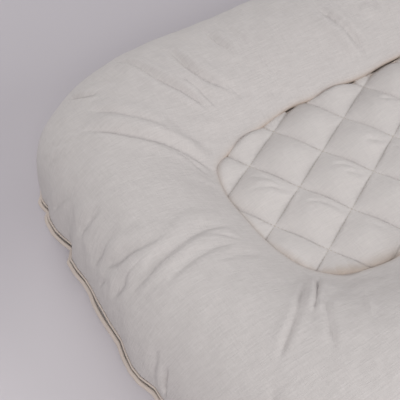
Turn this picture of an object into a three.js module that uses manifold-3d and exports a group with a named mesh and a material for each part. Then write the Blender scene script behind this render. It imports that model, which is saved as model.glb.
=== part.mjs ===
// Infant lounger: a zipped cotton cover, with a plump ring bumper round a diamond quilted panel, on a fibre insert.
// Millimetres, +Z up, long axis along X, width along Y. The origin is on the floor under the plan's middle.
import * as THREE from "three";
import { mergeVertices } from "three/addons/utils/BufferGeometryUtils.js";
import Module from "manifold-3d";

const wasm = await Module();
wasm.setup();

// The plan of the whole lounger: straight sides between two rounded ends.
const LENGTH = 760;
const WIDTH = 470;
const STRAIGHT_LENGTH = 240;
const OUTER_EXPONENT = 3.9;
const OPENING_EXPONENT = 3.25;

// The bumper's section, with insets counted inwards from the widest outline and heights from the floor.
const BUMPER_WIDTH = 144;
const CREST_INSET = 66;
const CREST_HEIGHT = 105;
const BULGE_HEIGHT = 52;
const PANEL_SEAM_HEIGHT = 63;
const ZIP_HEIGHT = 27.5;
const ZIP_INSET = 4;
const FOOT_INSET = 27;

// Cloth, wadding and the room between two pieces.
const CLEARANCE = 0.3;
const COVER_THICKNESS = 1.5;
const LINING_THICKNESS = 1;
const BAFFLE_THICKNESS = 1.2;
const BINDING_THICKNESS = 1.6;
const BINDING_DEPTH = 7;

// The quilted panel: stitch lines in squares, turned against the long axis.
const QUILT_PITCH = 50;
const QUILT_ANGLE = THREE.MathUtils.degToRad(27);
const QUILT_SHIFT_X = -174.6;
const QUILT_SHIFT_Y = 12.4;
const QUILT_LINE_HEIGHT = 59;
const QUILT_PUFF = 6.5;
const PUFF_EXPONENT = 0.65;
const FACE_THICKNESS = 1.2;
const WADDING_LEAST = 2;
const BACKING_THICKNESS = 1;

// The zip: tapes, coils, slider and pull, and the two folded lips that hide it round the end.
const TAPE_THICKNESS = 0.6;
const TAPE_WIDTH = 8;
const TAPE_SEAT = 2;
const COIL_HEIGHT = 1.8;
const COIL_DEPTH = 2;
const NECK_THICKNESS = 1.2;
const STOP_LENGTH = 4;
const ZIP_END_MARGIN = 8;
const SLIDER_LENGTH = 12;
const SLIDER_PLATE = 1;
const SLIDER_RIM = 1;
const CROWN_LENGTH = 8.2;
const CROWN_WIDTH = 1.6;
const CROWN_POST = 1.2;
const CROWN_ROOM = 2.8;
const PULL_LENGTH = 22;
const PULL_WIDTH = 6;
const PULL_THICKNESS = 1.2;
const PULL_PLAY = 0.5;
const LIP_HEIGHT = 6;
const LIP_THICKNESS = 1.6;
const LIP_FLARE = 2;
const SLIT_ROUND_END = 1.25;
const SLIT_ALONG_SIDES = 4.6;
const SLIT_EASE_LENGTH = 60;
const SLIDER_TRAVEL = 200;

// How finely curves are divided.
const END_STEPS = 10;
const CORNER_CROWDING_SHARE = 0.5;
const STRAIGHT_STEPS = 4;
const CROWN_STEPS = 4;
const LINING_CROWN_STEPS = CROWN_STEPS / 2;
const FOOT_STEPS = 2;

const ORGANIC_WHITE = 0xdad5cd;
const QUILT_WHITE = 0xddd9d2;
const LIP_CREAM = 0xd8cfc0;
const TAPE_CREAM = 0xcfc4b2;
const COIL_TAN = 0xb9a88f;
const LINING_WHITE = 0xe4e2de;
const FIBRE_WHITE = 0xefeeeb;
const SLIDER_GREY = 0xb4afa6;

const CLOTH_ROUGHNESS = 0.95;
const METAL_ROUGHNESS = 0.4;

const lounger = new THREE.Group();

function addPiece(name, geometry, colour, roughness = CLOTH_ROUGHNESS, metalness = 0) {
  const material = new THREE.MeshStandardMaterial({ color: colour, roughness, metalness });
  const mesh = new THREE.Mesh(geometry, material);
  mesh.name = name;
  lounger.add(mesh);
  return mesh;
}

// A station is one direction round the plan: a place on a straight side, or an angle on a rounded end.
const halfStraight = STRAIGHT_LENGTH / 2;

function sideStation(x, side) {
  return { x, side };
}

function endStation(end, side, share) {
  return { end, side, angle: (share * Math.PI) / 2 };
}

// The plan point of a station at an inset: a superellipse at the ends, a line parallel to X at the sides.
function planPoint(station, inset) {
  const across = WIDTH / 2 - inset;
  if (station.end === undefined) return [station.x, station.side * across];
  const along = LENGTH / 2 - halfStraight - inset;
  const exponent = OUTER_EXPONENT + ((OPENING_EXPONENT - OUTER_EXPONENT) * inset) / BUMPER_WIDTH;
  const c = Math.cos(station.angle);
  const s = Math.sin(station.angle);
  const reach = ((c / along) ** exponent + (s / across) ** exponent) ** (-1 / exponent);
  return [station.end * (halfStraight + reach * c), station.side * reach * s];
}

// One quarter of the plan, from the tip of an end to the start of a side. Its steps are closer at the corner.
function quarter(end, side) {
  const turn = 2 * Math.PI;
  return Array.from({ length: END_STEPS }, (_, i) => {
    const share = (i + 1) / END_STEPS;
    return endStation(end, side, share + (CORNER_CROWDING_SHARE * Math.sin(turn * share)) / turn);
  });
}

function straightPlaces() {
  const step = STRAIGHT_LENGTH / STRAIGHT_STEPS;
  return Array.from({ length: STRAIGHT_STEPS - 1 }, (_, i) => halfStraight - (i + 1) * step);
}

const tip = (end) => endStation(end, 1, 0);
const zippedEnd = [...quarter(-1, 1).reverse(), tip(-1), ...quarter(-1, -1)];
const roundPlan = [
  tip(1),
  ...quarter(1, 1),
  ...straightPlaces().map((x) => sideStation(x, 1)),
  ...zippedEnd,
  ...straightPlaces().reverse().map((x) => sideStation(x, -1)),
  ...quarter(1, -1).reverse(),
];

// The zip runs from the far side, round one end, to the near side where it closes.
const zipReach = halfStraight - ZIP_END_MARGIN;
const zipPath = [
  sideStation(zipReach, 1),
  ...straightPlaces().map((x) => sideStation(x, 1)),
  ...zippedEnd,
  ...straightPlaces().reverse().map((x) => sideStation(x, -1)),
  sideStation(zipReach, -1),
];

// The slider rests against the stop at the closed end, and opens the zip towards -X along the straight side.
const coilReach = zipReach - STOP_LENGTH - CLEARANCE;
const sliderX = coilReach - PULL_PLAY - SLIDER_LENGTH / 2;
const travelEnd = sliderX - SLIDER_TRAVEL - SLIDER_LENGTH / 2;

// The line of a section moved towards the inside of the bumper, which is on the right hand along the line.
function offsetLine(line, distance) {
  const normals = line.slice(1).map(([r, z], i) => {
    const dr = r - line[i][0];
    const dz = z - line[i][1];
    const size = Math.hypot(dr, dz);
    return [dz / size, -dr / size];
  });
  return line.map(([r, z], i) => {
    const a = normals[Math.max(i - 1, 0)];
    const b = normals[Math.min(i, normals.length - 1)];
    const stretch = distance / (1 + a[0] * b[0] + a[1] * b[1]);
    return [r + (a[0] + b[0]) * stretch, z + (a[1] + b[1]) * stretch];
  });
}

// The triangles of a flat section, which turn the way that its outline does.
function capTriangles(section) {
  const outline = section.map(([inset, height]) => new THREE.Vector2(inset, height));
  const turn = Math.sign(THREE.ShapeUtils.area(outline));
  return THREE.ShapeUtils.triangulateShape(outline, []).map(([a, b, c]) => {
    const agrees = THREE.ShapeUtils.area([outline[a], outline[b], outline[c]]) * turn > 0;
    return agrees ? [a, b, c] : [a, c, b];
  });
}

// A closed solid through all stations. A section is a list of [inset, height], as many at each station.
function sweep(stations, sectionAt, ends) {
  const sections = stations.map((station) => sectionAt(station));
  const count = sections[0].length;
  const positions = [];
  const index = [];
  stations.forEach((station, i) => {
    for (const [inset, height] of sections[i]) positions.push(...planPoint(station, inset), height);
  });
  const at = (i, j) => (i % stations.length) * count + (j % count);
  const aroundSteps = ends === "joined" || ends === "centred" ? stations.length : stations.length - 1;
  const sectionSteps = ends === "centred" ? count - 1 : count;
  const apart = (a, b) => Math.hypot(...[0, 1, 2].map((k) => positions[3 * a + k] - positions[3 * b + k]));
  for (let i = 0; i < aroundSteps; i++) {
    for (let j = 0; j < sectionSteps; j++) {
      const [a, b, c, d] = [at(i, j), at(i + 1, j), at(i + 1, j + 1), at(i, j + 1)];
      // Both faces of a cloth are split along the shorter diagonal, so that they stay parallel.
      if (apart(a, c) < apart(b, d)) index.push(a, b, c, a, c, d);
      else index.push(a, b, d, b, c, d);
    }
  }
  if (ends === "centred") {
    const low = positions.length / 3;
    positions.push(0, 0, sections[0][0][1], 0, 0, sections[0][count - 1][1]);
    for (let i = 0; i < stations.length; i++) {
      index.push(low, at(i + 1, 0), at(i, 0), low + 1, at(i, count - 1), at(i + 1, count - 1));
    }
  }
  if (ends === "open") {
    const last = (stations.length - 1) * count;
    for (const [a, b, c] of capTriangles(sections[0])) index.push(a, b, c, last + a, last + c, last + b);
  }
  const geometry = new THREE.BufferGeometry();
  geometry.setAttribute("position", new THREE.Float32BufferAttribute(positions, 3));
  geometry.setIndex(index);
  geometry.computeVertexNormals();
  return geometry;
}

function solidOf(geometry) {
  const bare = geometry.clone();
  bare.deleteAttribute("normal");
  bare.deleteAttribute("uv");
  const merged = mergeVertices(bare);
  const vertProperties = new Float32Array(merged.attributes.position.array);
  const triVerts = new Uint32Array(merged.index.array);
  return new wasm.Manifold(new wasm.Mesh({ numProp: 3, vertProperties, triVerts }));
}

function geometryOf(solid) {
  const { vertProperties, triVerts } = solid.getMesh();
  const geometry = new THREE.BufferGeometry();
  geometry.setAttribute("position", new THREE.BufferAttribute(new Float32Array(vertProperties), 3));
  geometry.setIndex(new THREE.BufferAttribute(new Uint32Array(triVerts), 1));
  geometry.computeVertexNormals();
  return geometry;
}

function ease(share) {
  const t = THREE.MathUtils.clamp(share, 0, 1);
  return t * t * (3 - 2 * t);
}

// Half the height of the slit between the covers: wide at the sides, narrow round the end, then sewn shut.
function slitAt(station) {
  const [x] = planPoint(station, ZIP_INSET);
  const sewnShut = ease((x - zipReach) / SLIT_EASE_LENGTH);
  const roundEnd = ease((travelEnd - x) / SLIT_EASE_LENGTH);
  const zipped = THREE.MathUtils.lerp(SLIT_ALONG_SIDES, SLIT_ROUND_END, roundEnd);
  return THREE.MathUtils.lerp(zipped, CLEARANCE / 2, sewnShut);
}

// The outside of the bumper from the foot to the sewn seam of the panel, as lines of [inset, height].
const FALL_EASE_SHARE = 0.6;
const bandHalf = SLIT_ALONG_SIDES + LIP_HEIGHT + CLEARANCE;
const bandLow = ZIP_HEIGHT - bandHalf;
const bandHigh = ZIP_HEIGHT + bandHalf;

function footLine(steps) {
  return Array.from({ length: steps + 1 }, (_, i) => {
    const turn = (i / steps) * (Math.PI / 2);
    return [FOOT_INSET - (FOOT_INSET - ZIP_INSET) * Math.sin(turn), bandLow * (1 - Math.cos(turn))];
  });
}

function crownLine(steps) {
  const line = [];
  for (let i = 0; i <= steps; i++) {
    const turn = (i / steps) * (Math.PI / 2);
    const rise = (CREST_HEIGHT - BULGE_HEIGHT) * Math.sin(turn);
    line.push([CREST_INSET * (1 - Math.cos(turn)), BULGE_HEIGHT + rise]);
  }
  for (let i = 1; i <= steps; i++) {
    const share = i / steps;
    const fall = share * share * (1 + FALL_EASE_SHARE * (1 - share));
    line.push([
      CREST_INSET + (BUMPER_WIDTH - CREST_INSET) * share,
      CREST_HEIGHT - (CREST_HEIGHT - PANEL_SEAM_HEIGHT) * fall,
    ]);
  }
  return line;
}

const shell = (line, thickness) => [...line, ...offsetLine(line, thickness).reverse()];

function bumperCoverSection(station) {
  const edge = [ZIP_INSET, ZIP_HEIGHT + slitAt(station)];
  return shell([edge, [ZIP_INSET, bandHigh], ...crownLine(CROWN_STEPS)], COVER_THICKNESS);
}

function baseCoverSection(station) {
  const edge = [ZIP_INSET, ZIP_HEIGHT - slitAt(station)];
  return shell([...footLine(FOOT_STEPS), edge], COVER_THICKNESS);
}

addPiece("bumper_cover", sweep(roundPlan, bumperCoverSection, "joined"), ORGANIC_WHITE);
addPiece("base_cover", sweep(roundPlan, baseCoverSection, "centred"), ORGANIC_WHITE);

// The heights in the middle of the panel, from the stitch lines down to the insert.
const faceUnder = QUILT_LINE_HEIGHT - FACE_THICKNESS;
const waddingTop = faceUnder - CLEARANCE;
const waddingUnder = waddingTop - WADDING_LEAST;
const backingTop = waddingUnder - CLEARANCE;
const backingUnder = backingTop - BACKING_THICKNESS;
const insertTop = backingUnder - CLEARANCE;
const panelInset = BUMPER_WIDTH + CLEARANCE;

// A slab whose top swells between the stitch lines. The shares divide each square from one line to the next.
function quilted(lineHeight, shares) {
  const cells = Math.ceil(LENGTH / QUILT_PITCH);
  const places = [];
  for (let cell = -cells; cell < cells; cell++) for (const share of shares) places.push([cell, share]);
  const swell = (share) => Math.sin(Math.PI * share) ** PUFF_EXPONENT;
  const count = places.length;
  const positions = [];
  const index = [];
  const c = Math.cos(QUILT_ANGLE);
  const s = Math.sin(QUILT_ANGLE);
  for (const floor of [false, true]) {
    for (const [cellV, shareV] of places) {
      for (const [cellU, shareU] of places) {
        const u = (cellU + shareU) * QUILT_PITCH;
        const v = (cellV + shareV) * QUILT_PITCH;
        const height = floor ? 0 : lineHeight + QUILT_PUFF * swell(shareU) * swell(shareV);
        positions.push(QUILT_SHIFT_X + u * c - v * s, QUILT_SHIFT_Y + u * s + v * c, height);
      }
    }
  }
  const at = (i, j, layer) => layer * count * count + j * count + i;
  for (let j = 0; j < count - 1; j++) {
    for (let i = 0; i < count - 1; i++) {
      const [a, b, d, e] = [at(i, j, 0), at(i + 1, j, 0), at(i, j + 1, 0), at(i + 1, j + 1, 0)];
      index.push(a, b, e, a, e, d);
      const [p, q, m, n] = [at(i, j, 1), at(i + 1, j, 1), at(i, j + 1, 1), at(i + 1, j + 1, 1)];
      index.push(p, n, q, p, m, n);
    }
  }
  const wall = (a, b) => index.push(a[1], b[1], b[0], a[1], b[0], a[0]);
  const both = (i, j) => [at(i, j, 0), at(i, j, 1)];
  for (let i = 0; i < count - 1; i++) {
    wall(both(i, 0), both(i + 1, 0));
    wall(both(count - 1, i), both(count - 1, i + 1));
    wall(both(i + 1, count - 1), both(i, count - 1));
    wall(both(0, i + 1), both(0, i));
  }
  const geometry = new THREE.BufferGeometry();
  geometry.setAttribute("position", new THREE.Float32BufferAttribute(positions, 3));
  geometry.setIndex(index);
  return solidOf(geometry);
}

// An upright block with the plan's outline at an inset, between two heights.
function upright(inset, low, high) {
  const corners = roundPlan.map((station) => new THREE.Vector2(...planPoint(station, inset)));
  const outline = new THREE.Shape(corners);
  const block = new THREE.ExtrudeGeometry(outline, { depth: high - low, bevelEnabled: false });
  block.translate(0, 0, low);
  return block;
}

const FINE_SHARES = [0, 0.2, 0.5, 0.8];
const COARSE_SHARES = [0, 0.5];
const puffTop = QUILT_LINE_HEIGHT + QUILT_PUFF;
const panelColumn = solidOf(upright(panelInset, waddingUnder, puffTop + CLEARANCE));
const quiltFace = quilted(QUILT_LINE_HEIGHT, FINE_SHARES)
  .subtract(quilted(faceUnder, COARSE_SHARES))
  .intersect(panelColumn);
const quiltWadding = quilted(waddingTop, COARSE_SHARES).intersect(panelColumn);

addPiece("quilt_face", geometryOf(quiltFace), QUILT_WHITE);
addPiece("quilt_wadding", geometryOf(quiltWadding), FIBRE_WHITE);
addPiece("quilt_backing", upright(panelInset, backingUnder, backingTop), LINING_WHITE);

// The bound seam allowance that hangs below the joint of bumper cover and panel.
const coverLine = crownLine(CROWN_STEPS);
const coverUnder = offsetLine(coverLine, COVER_THICKNESS).at(-1)[1];

function bandSection(outer, inner, low, high) {
  return () => [[outer, low], [outer, high], [inner, high], [inner, low]];
}

const bindingOuter = BUMPER_WIDTH - BINDING_THICKNESS;
const bindingTop = coverUnder - CLEARANCE;
const bindingSection = bandSection(bindingOuter, BUMPER_WIDTH, bindingTop - BINDING_DEPTH, bindingTop);
addPiece("panel_seam_binding", sweep(roundPlan, bindingSection, "joined"), LIP_CREAM);

// The zip's places across the section, all measured inwards from the inside of the cover.
const coilOuter = ZIP_INSET + COVER_THICKNESS + CLEARANCE;
const coilInner = coilOuter + COIL_DEPTH;
const tapeOuter = coilInner + CLEARANCE;
const tapeInner = tapeOuter + TAPE_THICKNESS;
const backPlateOuter = tapeInner + CLEARANCE;
const backPlateInner = backPlateOuter + SLIDER_PLATE;
const frontPlateInner = coilOuter - CLEARANCE;
const frontPlateOuter = frontPlateInner - SLIDER_PLATE;
const chainHalf = NECK_THICKNESS / 2 + CLEARANCE;
const chainHigh = chainHalf + COIL_HEIGHT;
const sliderHalf = chainHigh + CLEARANCE + SLIDER_RIM;

// The insert's lining follows the covers and steps in behind the zip, so that the slider has room to run.
const liningGap = COVER_THICKNESS + CLEARANCE;
const zipRoom = backPlateInner + PULL_PLAY;
const valleyInset = bindingOuter - CLEARANCE - LINING_THICKNESS;
const liningCrown = crownLine(LINING_CROWN_STEPS).slice(0, -1);
const envelope = [...footLine(FOOT_STEPS), [ZIP_INSET, bandHigh], ...liningCrown];
const bandStart = FOOT_STEPS + 1;

// The insert's own outline at a depth below the cover's outside, with the step behind the zip and the valley.
function insertLine(depth) {
  const line = offsetLine(envelope, liningGap + depth);
  const roomHalf = sliderHalf + CLEARANCE + depth;
  return [
    ...line.slice(0, bandStart),
    [zipRoom + depth, ZIP_HEIGHT - roomHalf],
    [zipRoom + depth, ZIP_HEIGHT + roomHalf],
    ...line.slice(bandStart),
    [valleyInset, insertTop - depth],
  ];
}

const insertSkin = insertLine(0);
const liningInside = insertLine(LINING_THICKNESS);
const topLiningSection = () => [...[...liningInside].reverse(), ...insertSkin];
const baseLiningLow = COVER_THICKNESS + CLEARANCE;
const baseLiningHigh = baseLiningLow + LINING_THICKNESS;
const fillLow = baseLiningHigh + CLEARANCE;
const baseLiningInset = liningInside[0][0] + LINING_THICKNESS + CLEARANCE;

addPiece("insert_top_lining", sweep(roundPlan, topLiningSection, "centred"), LINING_WHITE);
addPiece("insert_base_lining", upright(baseLiningInset, baseLiningLow, baseLiningHigh), LINING_WHITE);

// Inside the insert a sewn wall keeps the bumper's fibre apart from the thinner pad in the middle.
const fillTop = insertTop - LINING_THICKNESS - CLEARANCE;
const baffleInner = valleyInset + BAFFLE_THICKNESS;
addPiece(
  "insert_baffle",
  sweep(roundPlan, bandSection(valleyInset, baffleInner, fillLow, fillTop), "joined"),
  LINING_WHITE,
);

const fillLine = insertLine(LINING_THICKNESS + CLEARANCE);
const bumperFillSection = () => [
  [fillLine[0][0], fillLow],
  ...fillLine.slice(1, -1),
  [valleyInset - CLEARANCE, fillTop],
  [valleyInset - CLEARANCE, fillLow],
];
addPiece("bumper_fill", sweep(roundPlan, bumperFillSection, "joined"), FIBRE_WHITE);
addPiece("centre_fill", upright(baffleInner + CLEARANCE, fillLow, fillTop), FIBRE_WHITE);

// A zip piece is drawn for the upper half and mirrored about the zip's height for the lower half.
function halfSection(up, points) {
  const section = points.map(([inset, away]) => [inset, ZIP_HEIGHT + up * away]);
  return up > 0 ? section : section.reverse();
}

const tapeSeatInset = ZIP_INSET + COVER_THICKNESS + CLEARANCE;
const tapeTurn = sliderHalf + CLEARANCE;

function tapeSection(up) {
  return () =>
    halfSection(up, [
      [tapeOuter, chainHalf],
      [tapeOuter, tapeTurn],
      [tapeSeatInset, TAPE_WIDTH - TAPE_SEAT],
      [tapeSeatInset, TAPE_WIDTH],
      [tapeSeatInset + TAPE_THICKNESS, TAPE_WIDTH],
      [tapeInner, tapeTurn],
      [tapeInner, chainHalf],
    ]);
}

function coilSection(up) {
  return () =>
    halfSection(up, [
      [coilOuter, chainHalf],
      [coilOuter, chainHigh],
      [coilInner, chainHigh],
      [coilInner, chainHalf],
    ]);
}

const lipInner = ZIP_INSET - CLEARANCE;
const lipOuter = lipInner - LIP_THICKNESS;

function lipSection(up, flare) {
  return (station) => {
    const edge = slitAt(station);
    return halfSection(up, [
      [lipOuter - flare, edge],
      [lipOuter, edge + LIP_HEIGHT],
      [lipInner, edge + LIP_HEIGHT],
      [lipInner - flare, edge],
    ]);
  };
}

addPiece("zip_tape_upper", sweep(zipPath, tapeSection(1), "open"), TAPE_CREAM);
addPiece("zip_tape_lower", sweep(zipPath, tapeSection(-1), "open"), TAPE_CREAM);
addPiece("zip_lip_upper", sweep(zipPath, lipSection(1, 0), "open"), LIP_CREAM);
addPiece("zip_lip_lower", sweep(zipPath, lipSection(-1, LIP_FLARE), "open"), LIP_CREAM);

// The coils end where a stop closes the chain at each end of the zip.
const coilPath = zipPath.map((station) =>
  station.end === undefined && station.x === zipReach ? sideStation(coilReach, station.side) : station,
);
addPiece("zip_coil_upper", sweep(coilPath, coilSection(1), "open"), COIL_TAN);
addPiece("zip_coil_lower", sweep(coilPath, coilSection(-1), "open"), COIL_TAN);

// A block between two places along X, two insets and two heights on one side of the lounger.
function sideBlock(side, [xLow, xHigh], [insetLow, insetHigh], [low, high]) {
  const block = new THREE.BoxGeometry(xHigh - xLow, insetHigh - insetLow, high - low);
  const y = side * (WIDTH / 2 - (insetLow + insetHigh) / 2);
  return block.translate((xLow + xHigh) / 2, y, (low + high) / 2);
}

const stopSpan = [zipReach - STOP_LENGTH, zipReach];
const stopHeights = [ZIP_HEIGHT - chainHigh, ZIP_HEIGHT + chainHigh];
for (const [name, side] of [["zip_top_stop", -1], ["zip_bottom_stop", 1]]) {
  addPiece(name, sideBlock(side, stopSpan, [coilOuter, coilInner], stopHeights), COIL_TAN);
}

// The slider: two plates joined by a neck between the coils, side rims and a crown that carries the pull.
const NEAR_SIDE = -1;
const sliderSpan = [sliderX - SLIDER_LENGTH / 2, sliderX + SLIDER_LENGTH / 2];
const plateHeights = [ZIP_HEIGHT - sliderHalf, ZIP_HEIGHT + sliderHalf];
const neckHeights = [ZIP_HEIGHT - NECK_THICKNESS / 2, ZIP_HEIGHT + NECK_THICKNESS / 2];
const rimInner = tapeOuter - CLEARANCE;
const crownInner = frontPlateOuter - CROWN_ROOM;
const crownOuter = crownInner - SLIDER_PLATE;
const crownSpan = [sliderX - CROWN_LENGTH / 2, sliderX + CROWN_LENGTH / 2];
const crownHeights = [ZIP_HEIGHT - CROWN_WIDTH / 2, ZIP_HEIGHT + CROWN_WIDTH / 2];
const sliderBlocks = [
  [sliderSpan, [frontPlateOuter, frontPlateInner], plateHeights],
  [sliderSpan, [backPlateOuter, backPlateInner], plateHeights],
  [[sliderX, sliderSpan[1]], [frontPlateOuter, backPlateInner], neckHeights],
  [sliderSpan, [frontPlateOuter, rimInner], [plateHeights[0], plateHeights[0] + SLIDER_RIM]],
  [sliderSpan, [frontPlateOuter, rimInner], [plateHeights[1] - SLIDER_RIM, plateHeights[1]]],
  [[crownSpan[0], crownSpan[0] + CROWN_POST], [crownOuter, frontPlateInner], crownHeights],
  [[crownSpan[1] - CROWN_POST, crownSpan[1]], [crownOuter, frontPlateInner], crownHeights],
  [crownSpan, [crownOuter, crownInner], crownHeights],
];
const sliderSolid = sliderBlocks
  .map((block) => solidOf(sideBlock(NEAR_SIDE, ...block)))
  .reduce((whole, block) => whole.add(block));
addPiece("zip_slider", geometryOf(sliderSolid), SLIDER_GREY, METAL_ROUGHNESS, 1);

// The pull turns on its own cross bar, which lies under the crown. A window lets the crown through.
const pullMiddle = frontPlateOuter - CROWN_ROOM / 2;
const pullInsets = [pullMiddle - PULL_THICKNESS / 2, pullMiddle + PULL_THICKNESS / 2];
const barHalf = PULL_THICKNESS / 2;
const windowEnd = sliderX - Math.hypot(CROWN_LENGTH / 2, CROWN_ROOM / 2 + SLIDER_PLATE) - PULL_PLAY;
const windowHalf = CROWN_WIDTH / 2 + PULL_PLAY;
const pullPlate = sideBlock(NEAR_SIDE, [sliderX - PULL_LENGTH, sliderX + barHalf], pullInsets, [
  ZIP_HEIGHT - PULL_WIDTH / 2,
  ZIP_HEIGHT + PULL_WIDTH / 2,
]);
const pullWindow = sideBlock(
  NEAR_SIDE,
  [windowEnd, sliderX - barHalf],
  [pullInsets[0] - CLEARANCE, pullInsets[1] + CLEARANCE],
  [ZIP_HEIGHT - windowHalf, ZIP_HEIGHT + windowHalf],
);
const pullSolid = solidOf(pullPlate).subtract(solidOf(pullWindow));
addPiece("zip_pull", geometryOf(pullSolid), SLIDER_GREY, METAL_ROUGHNESS, 1);

export default lounger;
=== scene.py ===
import math
import bmesh
import bpy
import numpy as np
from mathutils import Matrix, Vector
from mathutils.bvhtree import BVHTree


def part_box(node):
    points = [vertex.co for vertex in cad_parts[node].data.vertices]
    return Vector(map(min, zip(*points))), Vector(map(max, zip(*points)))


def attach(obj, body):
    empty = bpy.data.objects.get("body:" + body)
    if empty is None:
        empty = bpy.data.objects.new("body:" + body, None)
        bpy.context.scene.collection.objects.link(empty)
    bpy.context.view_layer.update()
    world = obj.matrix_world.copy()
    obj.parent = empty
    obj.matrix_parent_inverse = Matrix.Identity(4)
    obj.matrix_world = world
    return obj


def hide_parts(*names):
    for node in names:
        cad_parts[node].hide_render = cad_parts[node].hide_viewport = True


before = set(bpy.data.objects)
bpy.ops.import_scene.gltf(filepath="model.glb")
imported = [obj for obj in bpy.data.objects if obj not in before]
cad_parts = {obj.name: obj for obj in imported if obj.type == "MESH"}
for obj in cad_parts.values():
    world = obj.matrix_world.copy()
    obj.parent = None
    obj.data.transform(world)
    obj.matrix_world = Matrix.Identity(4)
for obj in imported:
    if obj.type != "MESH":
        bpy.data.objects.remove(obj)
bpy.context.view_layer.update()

# Camera: it stands off the near corner of one rounded end and looks down at it from about half a right angle.
# Pixels in this script are counted on the square photograph, from its top left corner.
PHOTO_SIDE = 400
FOCAL_LENGTH_PIXELS = 776.6
SENSOR_WIDTH = 36
CAMERA_PLACE = Vector((-0.4932, -0.3111, 0.5847))
CAMERA_AZIMUTH = math.radians(-33.34)
CAMERA_ELEVATION = math.radians(50.68)

towards_camera = Vector((
    math.sin(CAMERA_AZIMUTH) * math.cos(CAMERA_ELEVATION),
    -math.cos(CAMERA_AZIMUTH) * math.cos(CAMERA_ELEVATION),
    math.sin(CAMERA_ELEVATION),
))
picture_right = Vector((math.cos(CAMERA_AZIMUTH), math.sin(CAMERA_AZIMUTH), 0))
picture_up = towards_camera.cross(picture_right)


def in_scene(name, data):
    """A new object with its data, in the scene."""
    thing = bpy.data.objects.new(name, data)
    bpy.context.scene.collection.objects.link(thing)
    return thing


camera = in_scene("camera", bpy.data.cameras.new("camera"))
camera.data.sensor_width = SENSOR_WIDTH
camera.data.lens = FOCAL_LENGTH_PIXELS * SENSOR_WIDTH / PHOTO_SIDE
camera.data.clip_start, camera.data.clip_end = 0.05, 20
camera.location = CAMERA_PLACE
camera.rotation_mode = "QUATERNION"
camera.rotation_quaternion = (-towards_camera).to_track_quat("-Z", "Y")
bpy.context.scene.camera = camera


def sight_line(pixel):
    """The direction in which the camera sees a pixel of the photograph."""
    across = (pixel[0] - PHOTO_SIDE / 2) / FOCAL_LENGTH_PIXELS
    down = (pixel[1] - PHOTO_SIDE / 2) / FOCAL_LENGTH_PIXELS
    return (picture_right * across - picture_up * down - towards_camera).normalized()


def on_height(pixel, height):
    """The point at a height that the camera sees at a pixel."""
    line = sight_line(pixel)
    return CAMERA_PLACE + line * ((height - CAMERA_PLACE.z) / line.z)


def photo_pixels(points):
    """Where points appear in the photograph."""
    offset = np.asarray(points) - np.array(CAMERA_PLACE)
    depth = -offset @ np.array(towards_camera)
    right = PHOTO_SIDE / 2 + FOCAL_LENGTH_PIXELS * (offset @ np.array(picture_right)) / depth
    down = PHOTO_SIDE / 2 - FOCAL_LENGTH_PIXELS * (offset @ np.array(picture_up)) / depth
    return np.stack([right, down], -1)


# Bumper cover: one ring of natural cotton and linen, cut flat with more cloth than the seams have, so that it
# gathers in soft folds that run from the panel's seam to the zip. Fibre in the insert fills it out.
# Its lower edge is hemmed over the zip and its inner edge is sewn to the quilted panel.
cover_low, cover_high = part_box("bumper_cover")
zip_low, zip_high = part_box("zip_slider")
LENGTH = cover_high.x - cover_low.x
WIDTH = cover_high.y - cover_low.y
CREST_HEIGHT = cover_high.z
ZIP_HEIGHT = (zip_low.z + zip_high.z) / 2
BUMPER_WIDTH = cover_high.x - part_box("quilt_face")[1].x
STRAIGHT_LENGTH = 0.240
OUTER_EXPONENT, OPENING_EXPONENT = 3.9, 3.25
CREST_INSET = 0.066
BULGE_HEIGHT = 0.052
SEAM_HEIGHT = 0.063
ZIP_INSET = 0.004
COVER_THICKNESS = 0.0013
MILLIMETRE = 0.001
RINGS = 1000
HEM_ROWS, CROWN_ROWS, FALL_ROWS, ROLL_ROWS = 14, 38, 44, 9


def ease(share):
    """A share that is kept from 0 to 1 and starts and ends softly."""
    held = np.clip(share, 0, 1)
    return held * held * (3 - 2 * held)


def window(value, start, end, fade, last_fade=None):
    """From 0 at the start and at the end to 1 a fade further in."""
    return ease((value - start) / fade) * ease((end - value) / (last_fade or fade))


def mixed(first, second, share):
    """The value at a share of the way from a first one to a second one."""
    return first + (second - first) * share


def waves(way, sizes):
    """A sum of waves along the way, each with its height, its turns and its start."""
    return sum(height * np.sin(way * turns + start) for height, turns, start in sizes)


def plan(way, inset):
    """Points at an inset from the widest outline. way goes once round in six parts, from the tip at +X:
    a quarter of the end, the +Y side, the two quarters of the end at -X, the -Y side and the last quarter."""
    way, inset = np.broadcast_arrays(np.mod(way, 6.0), inset)
    half = STRAIGHT_LENGTH / 2
    across = WIDTH / 2 - inset
    along = LENGTH / 2 - half - inset
    end = np.where((way >= 1.5) & (way < 4.5), -1.0, 1.0)
    side = np.where(way < 3, 1.0, -1.0)
    turned = np.select([way < 1, (way >= 2) & (way < 3), (way >= 3) & (way < 4), way >= 5],
                       [way, 3 - way, way - 3, 6 - way], 0)
    cosine, sine = np.cos(turned * np.pi / 2), np.sin(turned * np.pi / 2)
    exponent = mixed(OUTER_EXPONENT, OPENING_EXPONENT, inset / BUMPER_WIDTH)
    reach = ((cosine / along) ** exponent + (sine / across) ** exponent) ** (-1 / exponent)
    straight = ((way >= 1) & (way < 2)) | ((way >= 4) & (way < 5))
    along_side = half - (way - np.where(side > 0, 1, 4)) * STRAIGHT_LENGTH
    x = np.where(straight, side * along_side, end * (half + reach * cosine))
    return np.stack([x, np.where(straight, side * across, side * reach * sine)], -1)


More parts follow.
